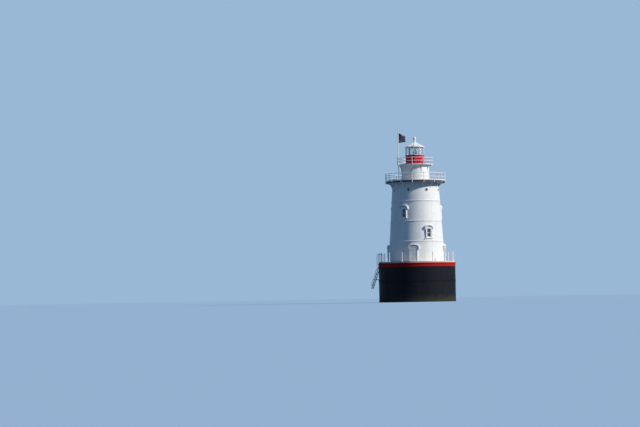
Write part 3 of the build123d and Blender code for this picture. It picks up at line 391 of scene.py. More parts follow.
def lathe(mesh, outline, steps, middle=(0.0, 0.0)):
    """A closed (radius, height) outline turned about an upright axis."""
    rows = []
    for bearing in spread(steps):
        x, y = polar(1, bearing)
        rows.append([mesh.verts.new((middle[0] + r * x, middle[1] + r * y, z))
                     for r, z in outline])
    for row, beside in zip(rows, rows[1:] + rows[:1]):
        for j in range(len(outline)):
            k = (j + 1) % len(outline)
            mesh.faces.new((row[j], beside[j], beside[k], row[k]))


def hoops(mesh, radius, steps, *sizes):
    """Flat rings with eased edges round a wall, each with its foot, its top and its rise."""
    for low, high, rise in sizes:
        ease = min(rise, (high - low) / 3) * 0.6
        lathe(mesh, [(radius - 0.01, low), (radius + rise - ease, low), (radius + rise, low + ease),
                     (radius + rise, high - ease), (radius + rise - ease, high),
                     (radius - 0.01, high)], steps)


caisson_paint, tree = shaded("caisson_black_paint")
paint = placed(tree, weathered, Color=(0.0040, 0.005, 0.008, 1), Runs=0.7, Scale=0.7,
               Dirt_Color=(0.014, 0.016, 0.021, 1), Patches=0.45, Gloss=0.35)
seam = placed(tree, plate_joints, First=CAISSON_JOINT, Pitch=360 / CAISSON_PLATES, Width=0.03)
spots = placed(tree, rust_spots, Amount=0.35, Scale=0.6)
place = object_place(tree)
height = split(place)[2]
wander = times(noise(place, 1.4, 6), 0.9)
salt = eased(minus(height, wander), 0.55, -0.35)
weed = eased(minus(height, times(wander, 0.4)), 0.2, -0.12)
shade = layered(paint["Color"], (salt, 0.6, (0.060, 0.056, 0.046, 1)),
                (weed, 0.7, (0.035, 0.05, 0.022, 1)), (spots["Mask"], 0.75, spots["Color"]),
                (seam["Line"], 0.8, (0.004, 0.004, 0.005, 1)))
surfaced(tree, shade, plus(paint["Roughness"], times(salt, 0.2), clamp=True),
         minus(paint["Height"], times(seam["Line"], 3.0)), 0.006, 0.8, Specular_IOR_Level=0.12)
dress(caisson_paint, "caisson_lower_plates", "caisson_upper_plates")

flanges = bmesh.new()
hoops(flanges, CAISSON_RADIUS, CAISSON_STEPS,
      (CAISSON_SEAM - 0.055, CAISSON_SEAM - 0.004, 0.022),
      (CAISSON_SEAM + 0.004, CAISSON_SEAM + 0.055, 0.022),
      (CAISSON_TOP_SEAM - 0.03, CAISSON_TOP_SEAM + 0.03, 0.018), (0.02, 0.14, 0.02))
piece("caisson_flanges", flanges, caisson_paint, smooth=30)

bolts = bmesh.new()
for joint in spread(CAISSON_PLATES, CAISSON_JOINT):
    for bearing in (joint - BOLT_ASIDE, joint + BOLT_ASIDE):
        for low, count in BOLT_LINES:
            for i in range(count):
                bolt(bolts, facing(bearing, CAISSON_RADIUS, low + i * BOLT_PITCH))
for bearing in spread(120, 1.5):
    for height in (CAISSON_SEAM - 0.10, CAISSON_SEAM + 0.10):
        bolt(bolts, facing(bearing, CAISSON_RADIUS, height))
piece("caisson_bolts", bolts, caisson_paint)

# Rim and deck
# The caisson ends in a rolled red rim, bolted on in lengths. Inside it lies a cream concrete
# deck, cast in place and stained along its edge, which carries the tower.
RIM_LOW = 4.18
RIM_BAND = 4.590
DECK = 4.80

rim_paint = painted("rim_red_paint", (0.50, 0.010, 0.010), (0.15, 0.010, 0.010), patches=0.4,
                    runs=0.5, scale=1.6, rust=0.15, joints=(7.5, 30.0, 0.02), bump=0.003,
                    shine=0.08)
dress(rim_paint, "caisson_rim")
bolts = bmesh.new()
for bearing in spread(96, 1.875):
    bolt(bolts, facing(bearing, RIM_BAND, RIM_LOW + 0.13), 0.02)
hoops(bolts, RIM_BAND, CAISSON_STEPS, (RIM_LOW + 0.01, RIM_LOW + 0.06, 0.014))
piece("rim_bolts", bolts, rim_paint)

concrete, tree = shaded("cream_concrete")
place = object_place(tree)
blotch = noise(place, 1.1, 8, 0.6)
sand = eased(noise(place, 60.0, 3), 0.55, 0.75, 0.0, 0.35)
pits = add(tree, "TexVoronoi", {"Vector": place, "Scale": 38.0}).outputs["Distance"]
run = placed(tree, level_stains, First=DECK - 0.25, Pitch=0.25, Depth=0.24)
shade = mixed(eased(blotch, 0.35, 0.68), (0.78, 0.69, 0.56, 1), (0.60, 0.53, 0.43, 1))
shade = layered(mixed(sand, shade, (0.36, 0.32, 0.27, 1)),
                (run["Stain"], 0.45, (0.22, 0.17, 0.13, 1)))
surfaced(tree, shade, eased(blotch, 0.3, 0.7, 0.78, 0.95),
         plus(times(eased(pits, 0.0, 0.25), 0.5), blotch), 0.005, 0.8)
dress(concrete, "caisson_core", "caisson_deck")

# Deck stanchions
# Round white iron posts let into the deck near its edge. Each stands on a flanged foot with
# four bolts, and has a collar under its domed cap and another lower down.
STANCHIONS = 15
STANCHION_FIRST = 7.0
STANCHION_REACH = 4.429
STANCHION_COLLARS = (5.73, 5.33)
FOOT_TOP = 4.83


def collar(mesh, inner, outer, low, high, steps, middle=(0.0, 0.0), ease=0.0):
    """A ring round an upright axis; ease takes its outer edges in."""
    lathe(mesh, [(inner, low), (outer, low + ease), (outer, high - ease), (inner, high)], steps,
          middle)


def circle(radius, turns):
    return [(radius * math.cos(math.radians(turn)), radius * math.sin(math.radians(turn)))
            for turn in turns]


def bolt_circle(mesh, place, reach, turns, radius):
    """Bolts round a flange; place has its Z axis out of the surface."""
    for x, y in circle(reach, turns):
        bolt(mesh, place @ moved(x, y, 0), radius)


rail_paint = painted("rail_white_paint", (0.92, 0.92, 0.91), (0.66, 0.64, 0.60), patches=0.10,
                     runs=0.15, gloss=0.9, scale=2.5, rust=0.08, bump=0.001, shine=0.8)
dress(rail_paint, "deck_stanchions")
fittings = bmesh.new()
for bearing in spread(STANCHIONS, STANCHION_FIRST):
    middle = polar(STANCHION_REACH, bearing)
    for low in STANCHION_COLLARS:
        collar(fittings, 0.042, 0.056, low, low + 0.05, 18, middle, 0.008)
    lathe(fittings, [(0.042, FOOT_TOP), (0.066, FOOT_TOP), (0.056, FOOT_TOP + 0.02),
                     (0.047, FOOT_TOP + 0.07), (0.042, FOOT_TOP + 0.07)], 18, middle)
    bolt_circle(fittings, moved(*middle, FOOT_TOP), 0.072, spread(4, 45), 0.009)
piece("stanchion_fittings", fittings, rail_paint, smooth=35)

# Tower wall
# Four courses of cast-iron plates, lined with brick and painted white. The plates meet in
# fine upright joints, staggered from course to course, and a ledge covers each level joint.
TOWER_FOOT = 3.35
TOWER_SLOPE = 0.61 / 9.6
COURSE = 2.4
WALL_STEPS = 160
WALL_DIRT = (0.52, 0.50, 0.45)


def wall_radius(height):
    return TOWER_FOOT - TOWER_SLOPE * (height - DECK)


for course, first in ((1, 22.5), (2, 11.25), (3, 0.0), (4, 11.25)):
    wall_paint = painted("wall_paint_course_%d" % course, (0.86, 0.855, 0.835), WALL_DIRT,
                         patches=0.12, runs=0.24, rust=0.10, joints=(first, 45.0, 0.016),
                         stains=(DECK, COURSE, 0.9))
    dress(wall_paint, *(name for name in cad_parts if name.startswith("course_%d_" % course)))

trim_paint = painted("trim_white_paint", (0.89, 0.885, 0.865), (0.56, 0.54, 0.49), patches=0.14,
                     runs=0.28, gloss=0.55, scale=2.0, rust=0.10, bump=0.002)
dress(trim_paint, "course_bands")
ledges = bmesh.new()
for course in (1, 2, 3):
    joint = DECK + course * COURSE
    hoops(ledges, wall_radius(joint) + 0.045, WALL_STEPS, (joint - 0.012, joint + 0.012, 0.012))
    hoops(ledges, wall_radius(joint - 0.09), WALL_STEPS, (joint - 0.105, joint - 0.075, 0.02))
    for bearing in spread(64, 2.8125):
        bolt(ledges, facing(bearing, wall_radius(joint - 0.16), joint - 0.16), 0.013)
piece("ledge_mouldings", ledges, trim_paint)

storey_paint = painted("floor_grey_paint", (0.22, 0.225, 0.23), (0.12, 0.11, 0.10), patches=0.4,
                       runs=0.0, gloss=0.35, scale=1.5, rust=0.2, bump=0.003)
dress(storey_paint, "storey_floors")

# Door and window casings
# Cast architraves with a raised bead round the opening and a back band outside it. Over each
# stands an arched hood mould whose ends drop to small consoles, bolted on as one casting.
LOWER_FACE = 3.440
LOWER_SIDE = 0.350
LOWER_CASING = 0.150
LOWER_HEAD = 6.420
LOWER_SILL = 5.585
LOWER_HOOD = {"rise": 0.115, "spring": 6.61, "end": 6.19, "hood_side": 0.69}
DOOR_SILL = 4.870
UPPER_SIDE = 0.225
UPPER_CASING = 0.180
UPPER_GLASS = 0.985
UPPER_RISE = 0.280
UPPER_SILL = 0.085
UPPER_STAND = 0.060
HOOD_STAND = 0.045
FILLET_END = 0.14
UPPER_WINDOWS = ((1, (33.75, 213.75)), (2, (-22.5, 112.5, 247.5)))


def run_moulding(mesh, path, outline, out=Vector((0, -1, 0)), closed=False):
    """Sweeps an outline of (aside, out) points along a path in one plane, with mitred turns."""
    path = [Vector(point) for point in path]
    rings = []
    count = len(path)
    for i, point in enumerate(path):
        before = path[i - 1] if i or closed else None
        after = path[(i + 1) % count] if i < count - 1 or closed else None
        steps = [(point - before).normalized()] if before is not None else []
        if after is not None:
            steps.append((after - point).normalized())
        along = sum(steps, Vector()).normalized()
        aside = along.cross(out)
        stretch = 1 / max(0.3, aside.dot(steps[0].cross(out)))
        rings.append([mesh.verts.new(point + aside * a * stretch + out * b) for a, b in outline])
    last = count if closed else count - 1
    for i in range(last):
        near, far = rings[i], rings[(i + 1) % count]
        for j in range(len(outline)):
            k = (j + 1) % len(outline)
            mesh.faces.new((near[j], far[j], far[k], near[k]))
    if not closed:
        mesh.faces.new(rings[0])
        mesh.faces.new(rings[-1][::-1])


def arc_points(start, top, end, steps=14):
    """Points of the circle through three points of a plane."""
    a, b, c = (complex(*point) for point in (start, top, end))
    turn = (c - a) / (b - a)
    middle = a + (b - a) * (turn - abs(turn) ** 2) / (2j * turn.imag)
    first, between, last = (cmath.phase(point - middle) for point in (a, b, c))
    if not min(first, last) <= between <= max(first, last):
        last += math.tau if last < first else -math.tau
    points = [middle + cmath.rect(abs(a - middle), first + (last - first) * i / steps)
              for i in range(steps + 1)]
    return [(point.real, point.imag) for point in points]


def mirrored(*half):
    """An outline that is the same on both sides, from one side of it."""
    return [(-a, b) for a, b in half] + [*reversed(half)]


def corners(left, right, low, high, reach):
    """The corners of an upright frame in front of the axis, from the lower left one round."""
    return [(left, -reach, low), (left, -reach, high), (right, -reach, high),
            (right, -reach, low)]


def casing_trim(mesh, side, casing, low, high, face, foot, rise, spring, end, hood_side):
    """Bead and back band on a casing, and the two fillets on its hood."""
    run_moulding(mesh, corners(-side - 0.004, side + 0.004, low, high + 0.004, face),
                 [(0.002, -0.004), (0.002, 0.010), (-0.008, 0.018), (-0.020, 0.018),
                  (-0.028, 0.008), (-0.028, -0.004)])
    outside = side + casing - 0.001
    run_moulding(mesh, corners(-outside, outside, foot, high + casing - 0.001, face),
                 [(0.0, -0.004), (0.0, 0.022), (0.016, 0.030), (0.036, 0.020), (0.036, -0.004)])
    front = face + HOOD_STAND
    fillet = [(0.0, -0.004), (0.0, 0.007), (-0.008, 0.011), (-0.018, 0.006), (-0.018, -0.004)]
    for inset, way in ((0.130, 1), (0.060, -1)):
        edge = hood_side - inset
        crown = arc_points((-edge, spring), (0.0, spring + rise + 0.130 - inset), (edge, spring))
        crown = [(-edge, end + FILLET_END), *crown, (edge, end + FILLET_END)]
        run_moulding(mesh, [(x, -front, z) for x, z in crown], [(a * way, b) for a, b in fillet])


def upper_window(course):
    """Where the casing starts, where the glass starts, and how far out the casing's face is."""
    joint = DECK + course * COURSE + UPPER_RISE
    foot = joint + UPPER_SILL
    return foot, foot + UPPER_CASING / 2, wall_radius(joint) + UPPER_STAND


dress(trim_paint, "door_surrounds", "window_surrounds", "door_hoods", "window_hoods",
      "window_sills", "window_aprons", "door_thresholds")
for name, low, foot, bearings in (
        ("door_casing_mouldings", DOOR_SILL, DECK, (0, 180)),
        ("lower_window_mouldings", LOWER_SILL, LOWER_SILL - 0.04, (90, 270))):
    trim = bmesh.new()
    casing_trim(trim, LOWER_SIDE, LOWER_CASING, low, LOWER_HEAD, LOWER_FACE, foot, **LOWER_HOOD)
    piece(name, trim, trim_paint, smooth=35, around=bearings)
for course, bearings in UPPER_WINDOWS:
    foot, low, face = upper_window(course)
    spring = low + UPPER_GLASS + UPPER_CASING + 0.040
    trim = bmesh.new()
    casing_trim(trim, UPPER_SIDE, UPPER_CASING, low, low + UPPER_GLASS, face, foot, rise=0.170,
                spring=spring, end=spring - 0.290, hood_side=0.595)
    piece("upper_window_mouldings_%d" % course, trim, trim_paint, smooth=35,
          around=bearings)

# Sashes and glass
# White wooden sashes, two panes over two, with an upright bar in each. The rooms behind are
# unlit; the glass itself is coloured nearly black, as painted shade for them.
SASH_OUT = 0.095
SASH_DEPTH = 0.045
SASH_FRAME = 0.048
MEETING = 0.024
BAR = 0.011

sash_paint, tree = shaded("sash_white_paint")
grain = noise(scaled(object_place(tree), (40.0, 40.0, 3.0)), 1.0, 5)
paint = placed(tree, weathered, Color=(0.86, 0.86, 0.84, 1), Dirt_Color=(0.55, 0.52, 0.46, 1),
               Patches=0.2, Runs=0.2, Scale=4.0, Gloss=0.6)
cracks = eased(grain, 0.66, 0.74)
surfaced(tree, layered(paint["Color"], (cracks, 0.5, (0.30, 0.26, 0.20, 1))), paint["Roughness"],
         grain, 0.0015, 0.6)
dress(sash_paint, "window_sashes")

# Nearly black glass colour: painted shade for the unlit rooms, with a film of grime over it.
window_glass, tree = shaded("window_glass_grime_and_painted_shade")
place = object_place(tree)
film = eased(noise(place, 9.0, 6), 0.40, 0.75)
surfaced(tree, mixed(film, (0.010, 0.014, 0.020, 1), (0.030, 0.037, 0.043, 1)),
         eased(film, 0.0, 1.0, 0.04, 0.16), noise(place, 3.5, 2), 0.004, 0.5, IOR=1.5,
         Transmission_Weight=0.25)
dress(window_glass, "window_glass")


def upright(mesh, x, reach, low, high, outline):
    run_moulding(mesh, [(x, -reach, low), (x, -reach, high)], outline)


def glazing_bars(mesh, side, low, high, face):
    """A bar with a rounded front up each sash, slips at its sides, and a bead where they meet."""
    bar = mirrored((BAR, -0.018), (BAR, 0.006), (BAR / 2, 0.016))
    slip = mirrored((0.009, -0.012), (0.009, 0.012))
    front = face - SASH_OUT - SASH_DEPTH / 2
    middle = (low + high) / 2
    for bottom, top in ((low + SASH_FRAME, middle - MEETING),
                        (middle + MEETING, high - SASH_FRAME)):
        upright(mesh, 0, front, bottom, top, bar)
        for x in (SASH_FRAME - side, side - SASH_FRAME):
            upright(mesh, x, front, bottom, top, slip)
    run_moulding(mesh, [(-side, -front - 0.012, middle), (side, -front - 0.012, middle)],
                 [(-0.016, -0.01), (-0.016, 0.014), (0.016, 0.022), (0.016, -0.01)])


bars = bmesh.new()
glazing_bars(bars, LOWER_SIDE, LOWER_SILL, LOWER_HEAD, LOWER_FACE)
piece("lower_glazing_bars", bars, sash_paint, around=(90, 270))
for course, bearings in UPPER_WINDOWS:
    _, low, face = upper_window(course)
    bars = bmesh.new()
    glazing_bars(bars, UPPER_SIDE, low, low + UPPER_GLASS, face)
    piece("upper_glazing_bars_%d" % course, bars, sash_paint, around=bearings)

# Doors
# Two framed doors with four raised panels, hung on strap hinges and painted white. Small
# mouldings run round the panels, the straps are bolted through, and each door has a lock plate.
DOOR_LOW = 4.879
DOOR_HIGH = 6.411
DOOR_LOCK = DOOR_LOW + (DOOR_HIGH - DOOR_LOW) * 0.45
DOOR_THICK = 0.045
PANEL_ROWS = ((DOOR_LOW + 0.105, DOOR_LOCK - 0.075), (DOOR_LOCK + 0.075, DOOR_HIGH - 0.105))
PANEL_BEAD = ((0.0, -0.012), (0.0, 0.004), (0.008, 0.008), (0.018, 0.002), (0.024, -0.012))
PANEL_SIDES = ((-0.236, -0.0525), (0.0525, 0.236))
HINGE_HEIGHTS = (5.139, 6.151)
STRAP_BOLTS = (-0.28, -0.17, -0.06, 0.05)
LOCK_ASIDE = 0.29
LOCK_LOW = 5.50
LOCK_HIGH = 5.56

door_paint = painted("door_white_paint", (0.80, 0.82, 0.85), (0.46, 0.46, 0.46), runs=0.35,
                     gloss=0.6, scale=3.0, rust=0.12, bump=0.0015)
dress(door_paint, "front_door", "back_door", "watch_room_door")
hinge_paint = painted("hinge_black_paint", (0.035, 0.035, 0.038), (0.12, 0.10, 0.08), patches=0.4,
                      scale=5.0, rust=0.4, bump=0.001)
dress(hinge_paint, "door_pintles")
for bearing, body in ((0, "front_door"), (180, "back_door")):
    beads = bmesh.new()
    for low, high in PANEL_ROWS:
        for left, right in PANEL_SIDES:
            run_moulding(beads, corners(left, right, low, high, LOWER_FACE), PANEL_BEAD,
                         closed=True)
            inside = corners(left, right, low, high, LOWER_FACE - DOOR_THICK)
            run_moulding(beads, inside[::-1], PANEL_BEAD, Vector((0, 1, 0)), closed=True)
    piece(body + "_mouldings", beads, door_paint, body, smooth=35, around=(bearing,))
    straps = bmesh.new()
    for height in HINGE_HEIGHTS:
        strap = facing(0, LOWER_FACE + 0.009, height)
        for x in STRAP_BOLTS:
            bolt(straps, strap @ moved(x, 0, 0), 0.012)
    upright(straps, LOCK_ASIDE, LOWER_FACE, LOCK_HIGH, LOCK_LOW,
            mirrored((0.016, -0.002), (0.016, 0.003)))
    piece(body + "_bolts", straps, hinge_paint, body, around=(bearing,))

# Portholes
# Round cast casings, one in every plate of the top course. Each has a raised bead round its
# glass and eight bolts through its flange.
PORTHOLE_HEIGHT = 13.290
PORTHOLE_STAND = 0.032
PORTHOLE_BOLTS = 0.205

dress(trim_paint, "porthole_frames")
# The portholes take the same nearly black glass: painted shade for the unlit rooms.
dress(window_glass, "porthole_glass")
seat = facing(0, wall_radius(PORTHOLE_HEIGHT) + PORTHOLE_STAND, PORTHOLE_HEIGHT)
bead = bmesh.new()
lathe(bead, [(0.150, -0.004), (0.150, 0.014), (0.160, 0.022), (0.174, 0.022), (0.184, 0.012),
             (0.186, -0.004)], 40)
port = bmesh.new()
join(port, bead, [seat])
bolt_circle(port, seat, PORTHOLE_BOLTS, spread(8, 22.5), 0.012)
piece("porthole_beads", port, trim_paint, smooth=35, around=spread(8, 33.75))

# Main gallery
# A deck of iron plates with a dark edge and a pale worn top, on sixteen thin white ribs flanged
# along their curve. The railing's posts stand in shoes outside the deck's edge, with ball joints
# at the rails and a white toe board.
GALLERY = 14.40
GALLERY_RADIUS = 3.530
GALLERY_POSTS = 16
POST_REACH = 3.5823
RAIL_HEIGHT = 0.88
RIB_TIP = 3.3851
RIB_HIGH = 14.32
RIB_LOW = 13.54

deck_paint, tree = shaded("deck_grey_paint")
place = object_place(tree)
paint = placed(tree, weathered, Color=(0.045, 0.048, 0.050, 1), Dirt_Color=(0.13, 0.125, 0.115, 1),
               Patches=0.5, Runs=0.3, Scale=1.5, Gloss=0.4)
seam = placed(tree, plate_joints, First=11.25, Pitch=22.5, Width=0.012)
spots = placed(tree, rust_spots, Amount=0.4, Scale=1.4)
plates = {"Vector": place, "Scale": 22.0, "Mortar Size": 0.03}
tread = add(tree, "TexBrick", plates).outputs["Fac"]
facing_up = eased(split(add(tree, "NewGeometry").outputs["Normal"])[2], 0.7, 0.9)
worn = eased(noise(place, 2.2, 6), 0.35, 0.70)
walked = mixed(worn, (0.62, 0.58, 0.51, 1), (0.45, 0.41, 0.35, 1))
shade = layered(mixed(facing_up, paint["Color"], walked), (spots["Mask"], 0.7, spots["Color"]),
                (seam["Line"], 0.8, (0.01, 0.01, 0.01, 1)))
grooves = plus(times(times(tread, facing_up), 0.6), times(seam["Line"], 2.0))
surfaced(tree, shade, paint["Roughness"], minus(paint["Height"], grooves))
dress(deck_paint, "main_gallery_deck")
dress(trim_paint, "main_gallery_brackets")


def run_radial(mesh, bearing, rows, outline):
    """Sweeps an outline along (reach, height) points in the upright plane at a bearing."""
    x, y = polar(1, bearing)
    run_moulding(mesh, [(x * r, y * r, z) for r, z in rows], outline, Vector((-y, x, 0)))


def rib_flange(mesh, tip, toe, high, low, nose, half):
    """The flange along the hollow edge of one rib, from under its nose to its toe."""
    middle = ((tip + toe * 2) / 3, (high - nose + low) / 2 + (high - low) * 0.12)
    run_radial(mesh, 0, arc_points((tip, high - nose), middle, (toe, low), 18),
               [(-0.010, -half), (-0.010, half), (0.004, half), (0.004, -half)])


ribs = bmesh.new()
rib_flange(ribs, RIB_TIP, wall_radius(RIB_LOW) + 0.035, RIB_HIGH, RIB_LOW, nose=0.07,
           half=0.034)
piece("gallery_rib_flanges", ribs, trim_paint, smooth=30,
      around=spread(GALLERY_POSTS))

fascia = bmesh.new()
hoops(fascia, GALLERY_RADIUS, CAISSON_STEPS, (GALLERY - 0.228, GALLERY - 0.190, 0.012),
      (GALLERY - 0.078, GALLERY - 0.052, 0.010))
for i, bearing in enumerate(spread(6 * GALLERY_POSTS)):
    if i % 6:
        bolt(fascia, facing(bearing, GALLERY_RADIUS, GALLERY - 0.13), 0.012)
piece("gallery_edge_mouldings", fascia, deck_paint)

dress(rail_paint, "main_gallery_rails_a", "main_gallery_rails_b")


def post_fittings(mesh, bearing, reach, level, height, foot):
    """Ball joints where the rails pass a post, its collar and cap, and bolts through its shoe."""
    middle = polar(reach, bearing)
    top = level + height
    for at_height, radius in ((top, 0.050), (level + height / 2, 0.046)):
        bmesh.ops.create_uvsphere(mesh, u_segments=14, v_segments=9, radius=radius,
                                  matrix=moved(*middle, at_height))
    lathe(mesh, [(0.030, level - 0.01), (0.043, level - 0.004), (0.043, level + 0.022),
                 (0.030, level + 0.03)], 14, middle)
    lathe(mesh, [(0.026, top + 0.098), (0.036, top + 0.100), (0.036, top + 0.112),
                 (0.026, top + 0.118), (0.020, top + 0.122), (0.004, top + 0.126)], 14, middle)
    for aside in (-0.041, 0.041):
        bolt(mesh, facing(bearing, reach, foot + 0.04) @ moved(aside, 0, 0), 0.009)


posts = bmesh.new()
for bearing in spread(GALLERY_POSTS):
    post_fittings(posts, bearing, POST_REACH, GALLERY, RAIL_HEIGHT, GALLERY - 0.23)
piece("gallery_post_fittings", posts, rail_paint, smooth=35)

# Watch room
# A round room of eight cast plates between the galleries, with a plinth, a cornice and a
# narrow strip over each joint, all bolted.
WATCH_RADIUS = 1.65
WATCH_TOP = 16.37
WATCH_JOINT = -12.6
STRIP_RISE = 0.008
STRIP_PITCH = 0.155

watch_paint = painted("watch_room_paint", (0.90, 0.89, 0.865), WALL_DIRT, patches=0.10, runs=0.16,
                      rust=0.06, joints=(WATCH_JOINT, 45.0, 0.010), bump=0.002,
                      stains=(GALLERY, WATCH_TOP - GALLERY, 0.4))
dress(watch_paint, "watch_room_plates_a", "watch_room_plates_b")
dress(trim_paint, "watch_room_casing")
strips = bmesh.new()
hoops(strips, WATCH_RADIUS, 96, (GALLERY, GALLERY + 0.10, 0.03),
      (WATCH_TOP - 0.05, WATCH_TOP - 0.002, 0.03))
strip = bmesh.new()
upright(strip, 0, WATCH_RADIUS, GALLERY + 0.10, WATCH_TOP - 0.05,
        mirrored((0.045, -0.01), (0.045, STRIP_RISE)))
for i in range(12):
    for bearing in (-0.9, 0.9):
        bolt(strip, facing(bearing, WATCH_RADIUS + STRIP_RISE, GALLERY + 0.17 + i * STRIP_PITCH),
             0.009)
join(strips, strip, [turned(bearing) for bearing in spread(8, WATCH_JOINT)])
piece("watch_room_strips", strips, watch_paint)

# Lantern gallery
# A smaller deck on ten white ribs, with an iron tread laid round the lantern and a railing made
# in the same way as the lower one.
UPPER_DECK = 16.45
LANTERN_DECK_RADIUS = 2.08
LANTERN_POSTS = spread(10, -3.0)
LANTERN_POST_REACH = 2.1323
LANTERN_RAIL = 0.72
COVE_TIP = 1.935
COVE_TOE = 1.68
COVE_LOW = 15.57
TREAD_INSIDE = 1.19

dress(trim_paint, "lantern_gallery_deck", "lantern_gallery_brackets")
dress(rail_paint, "lantern_gallery_rails_a", "lantern_gallery_rails_b")
ribs = bmesh.new()
rib_flange(ribs, COVE_TIP, COVE_TOE, WATCH_TOP, COVE_LOW, nose=0.06, half=0.045)
piece("cove_rib_flanges", ribs, trim_paint, smooth=30, around=LANTERN_POSTS)
edge = bmesh.new()
hoops(edge, LANTERN_DECK_RADIUS, 128, (UPPER_DECK - 0.118, UPPER_DECK - 0.096, 0.010),
      (UPPER_DECK - 0.062, UPPER_DECK - 0.046, 0.008))
piece("lantern_edge_mouldings", edge, trim_paint)
tread = bmesh.new()
collar(tread, TREAD_INSIDE, LANTERN_DECK_RADIUS - 0.02, UPPER_DECK - 0.002, UPPER_DECK + 0.004,
       96)
piece("lantern_gallery_tread", tread, deck_paint)
posts = bmesh.new()
for bearing in LANTERN_POSTS:
    post_fittings(posts, bearing, LANTERN_POST_REACH, UPPER_DECK, LANTERN_RAIL, UPPER_DECK - 0.12)
piece("lantern_post_fittings", posts, rail_paint, smooth=35)

# Lantern
# Ten red iron parapet panels, each with a bead round it and a vent at its foot, and a strip on
# each corner. White mullions stand over the corners, with clear plate glass between them.
LANTERN_RADIUS = 1.14
PARAPET_TOP = 17.52
EAVE = 18.47
SIDE = 18.0
CORNERS = spread(10, 3.0)
MIDDLES = spread(10, 3.0 + SIDE)

lantern_paint = painted("lantern_red_paint", (0.60, 0.010, 0.030), (0.22, 0.008, 0.016),
                        patches=0.2, runs=0.35, gloss=0.7, scale=2.5, rust=0.08, bump=0.0015,
                        shine=0.2)
dress(lantern_paint, "lantern_parapet_a", "lantern_parapet_b")


def flat_side(radius, margin):
    """How far out a side of a ten-sided wall is, and half its width within a margin."""
    return radius * math.cos(math.radians(SIDE)), radius * math.sin(math.radians(SIDE)) - margin


reach, half = flat_side(LANTERN_RADIUS, 0.075)
panel = bmesh.new()
upright(panel, 0, LANTERN_RADIUS - 0.012, UPPER_DECK, PARAPET_TOP - 0.07,
        mirrored((0.05, -0.002), (0.05, 0.004), (0.010, 0.022)))
vent = bmesh.new()
lathe(vent, [(0.045, -0.004), (0.045, 0.008), (0.056, 0.014), (0.070, 0.008), (0.070, -0.004)], 24)
bmesh.ops.create_cone(vent, cap_ends=True, segments=24, radius1=0.046, radius2=0.030, depth=0.010,
                      matrix=moved(0, 0, 0.004))
join(panel, vent, [facing(SIDE, reach, UPPER_DECK + 0.24)])
bead = bmesh.new()
run_moulding(bead, corners(-half, half, UPPER_DECK + 0.40, PARAPET_TOP - 0.14, reach),
             mirrored((0.008, -0.003), (0.004, 0.008)), closed=True)
join(panel, bead, [turned(SIDE)])
piece("parapet_panels", panel, lantern_paint, smooth=30, around=CORNERS)

mullion_paint = painted("mullion_paint", (0.89, 0.89, 0.88), (0.55, 0.54, 0.51), patches=0.15,
                        runs=0.25, gloss=0.6, scale=4.0, rust=0.15, bump=0.001)
dress(mullion_paint, "lantern_mullions")
reach, half = flat_side(LANTERN_RADIUS - 0.038, 0.045)
bars = bmesh.new()
for height in (PARAPET_TOP + 0.021, EAVE - 0.021):
    run_moulding(bars, [(-half, -reach, height), (half, -reach, height)],
                 [(-0.016, -0.02), (-0.016, 0.012), (0.016, 0.016), (0.016, -0.02)])
piece("lantern_glazing_beads", bars, mullion_paint, around=MIDDLES)

lantern_glass, tree = shaded("lantern_plate_glass")
film = eased(noise(object_place(tree), 6.0, 6), 0.42, 0.80)
surfaced(tree, mixed(film, (0.94, 0.97, 0.98, 1), (0.80, 0.84, 0.85, 1)),
         eased(film, 0.0, 1.0, 0.01, 0.10), IOR=1.12, Transmission_Weight=0.94)
dress(lantern_glass, "lantern_glass")

# Roof and ventilator
# Ten sheet-metal panels that steepen towards the neck, with a roll over each hip and a
# gutter bead at the eave. A ball ventilator with a short spike closes the top.
ROOF_EDGE = 1.22
ROOF_ROWS = ((ROOF_EDGE, EAVE + 0.07), (0.488, EAVE + 0.417), (0.15, EAVE + 0.63))
NECK_RADIUS = 0.130
NECK_COLLARS = (19.20, 19.30, 19.40)
BALL_BAND = (0.168, 0.184, 19.551, 19.583)

roof_paint = painted("roof_white_paint", (0.94, 0.935, 0.92), (0.66, 0.63, 0.58), patches=0.12,
                     runs=0.25, gloss=0.6, scale=2.0, rust=0.1, bump=0.0015)
dress(roof_paint, "lantern_roof", "ventilator")
roof = bmesh.new()
for bearing in CORNERS:
    run_radial(roof, bearing, ROOF_ROWS, circle(0.020, spread(10)))
run_moulding(roof, [(*polar(ROOF_EDGE, bearing), EAVE + 0.06) for bearing in CORNERS],
             circle(0.016, spread(8)), Vector((0, 0, 1)), closed=True)
piece("roof_rolls", roof, roof_paint, smooth=50)
collars = bmesh.new()
hoops(collars, NECK_RADIUS, 48, *((low, low + 0.028, 0.016) for low in NECK_COLLARS))
collar(collars, *BALL_BAND, 48, ease=0.005)
piece("ventilator_collars", collars, roof_paint, smooth=35)

# Beacon
# A small drum lens of ring prisms in a bronze cage, on a bronze post in the middle of the
# lantern. A black iron flue in four lengths goes up from a hood over it to the ventilator.
LENS_LOW = UPPER_DECK + 1.08
LENS_HIGH = LENS_LOW + 0.52
LENS_RADIUS = 0.200
PRISMS = 9
FLUE_RADIUS = 0.085
FLUE_TOP = 19.094
FLUE_JOINTS = (18.30, 18.60, 18.90)

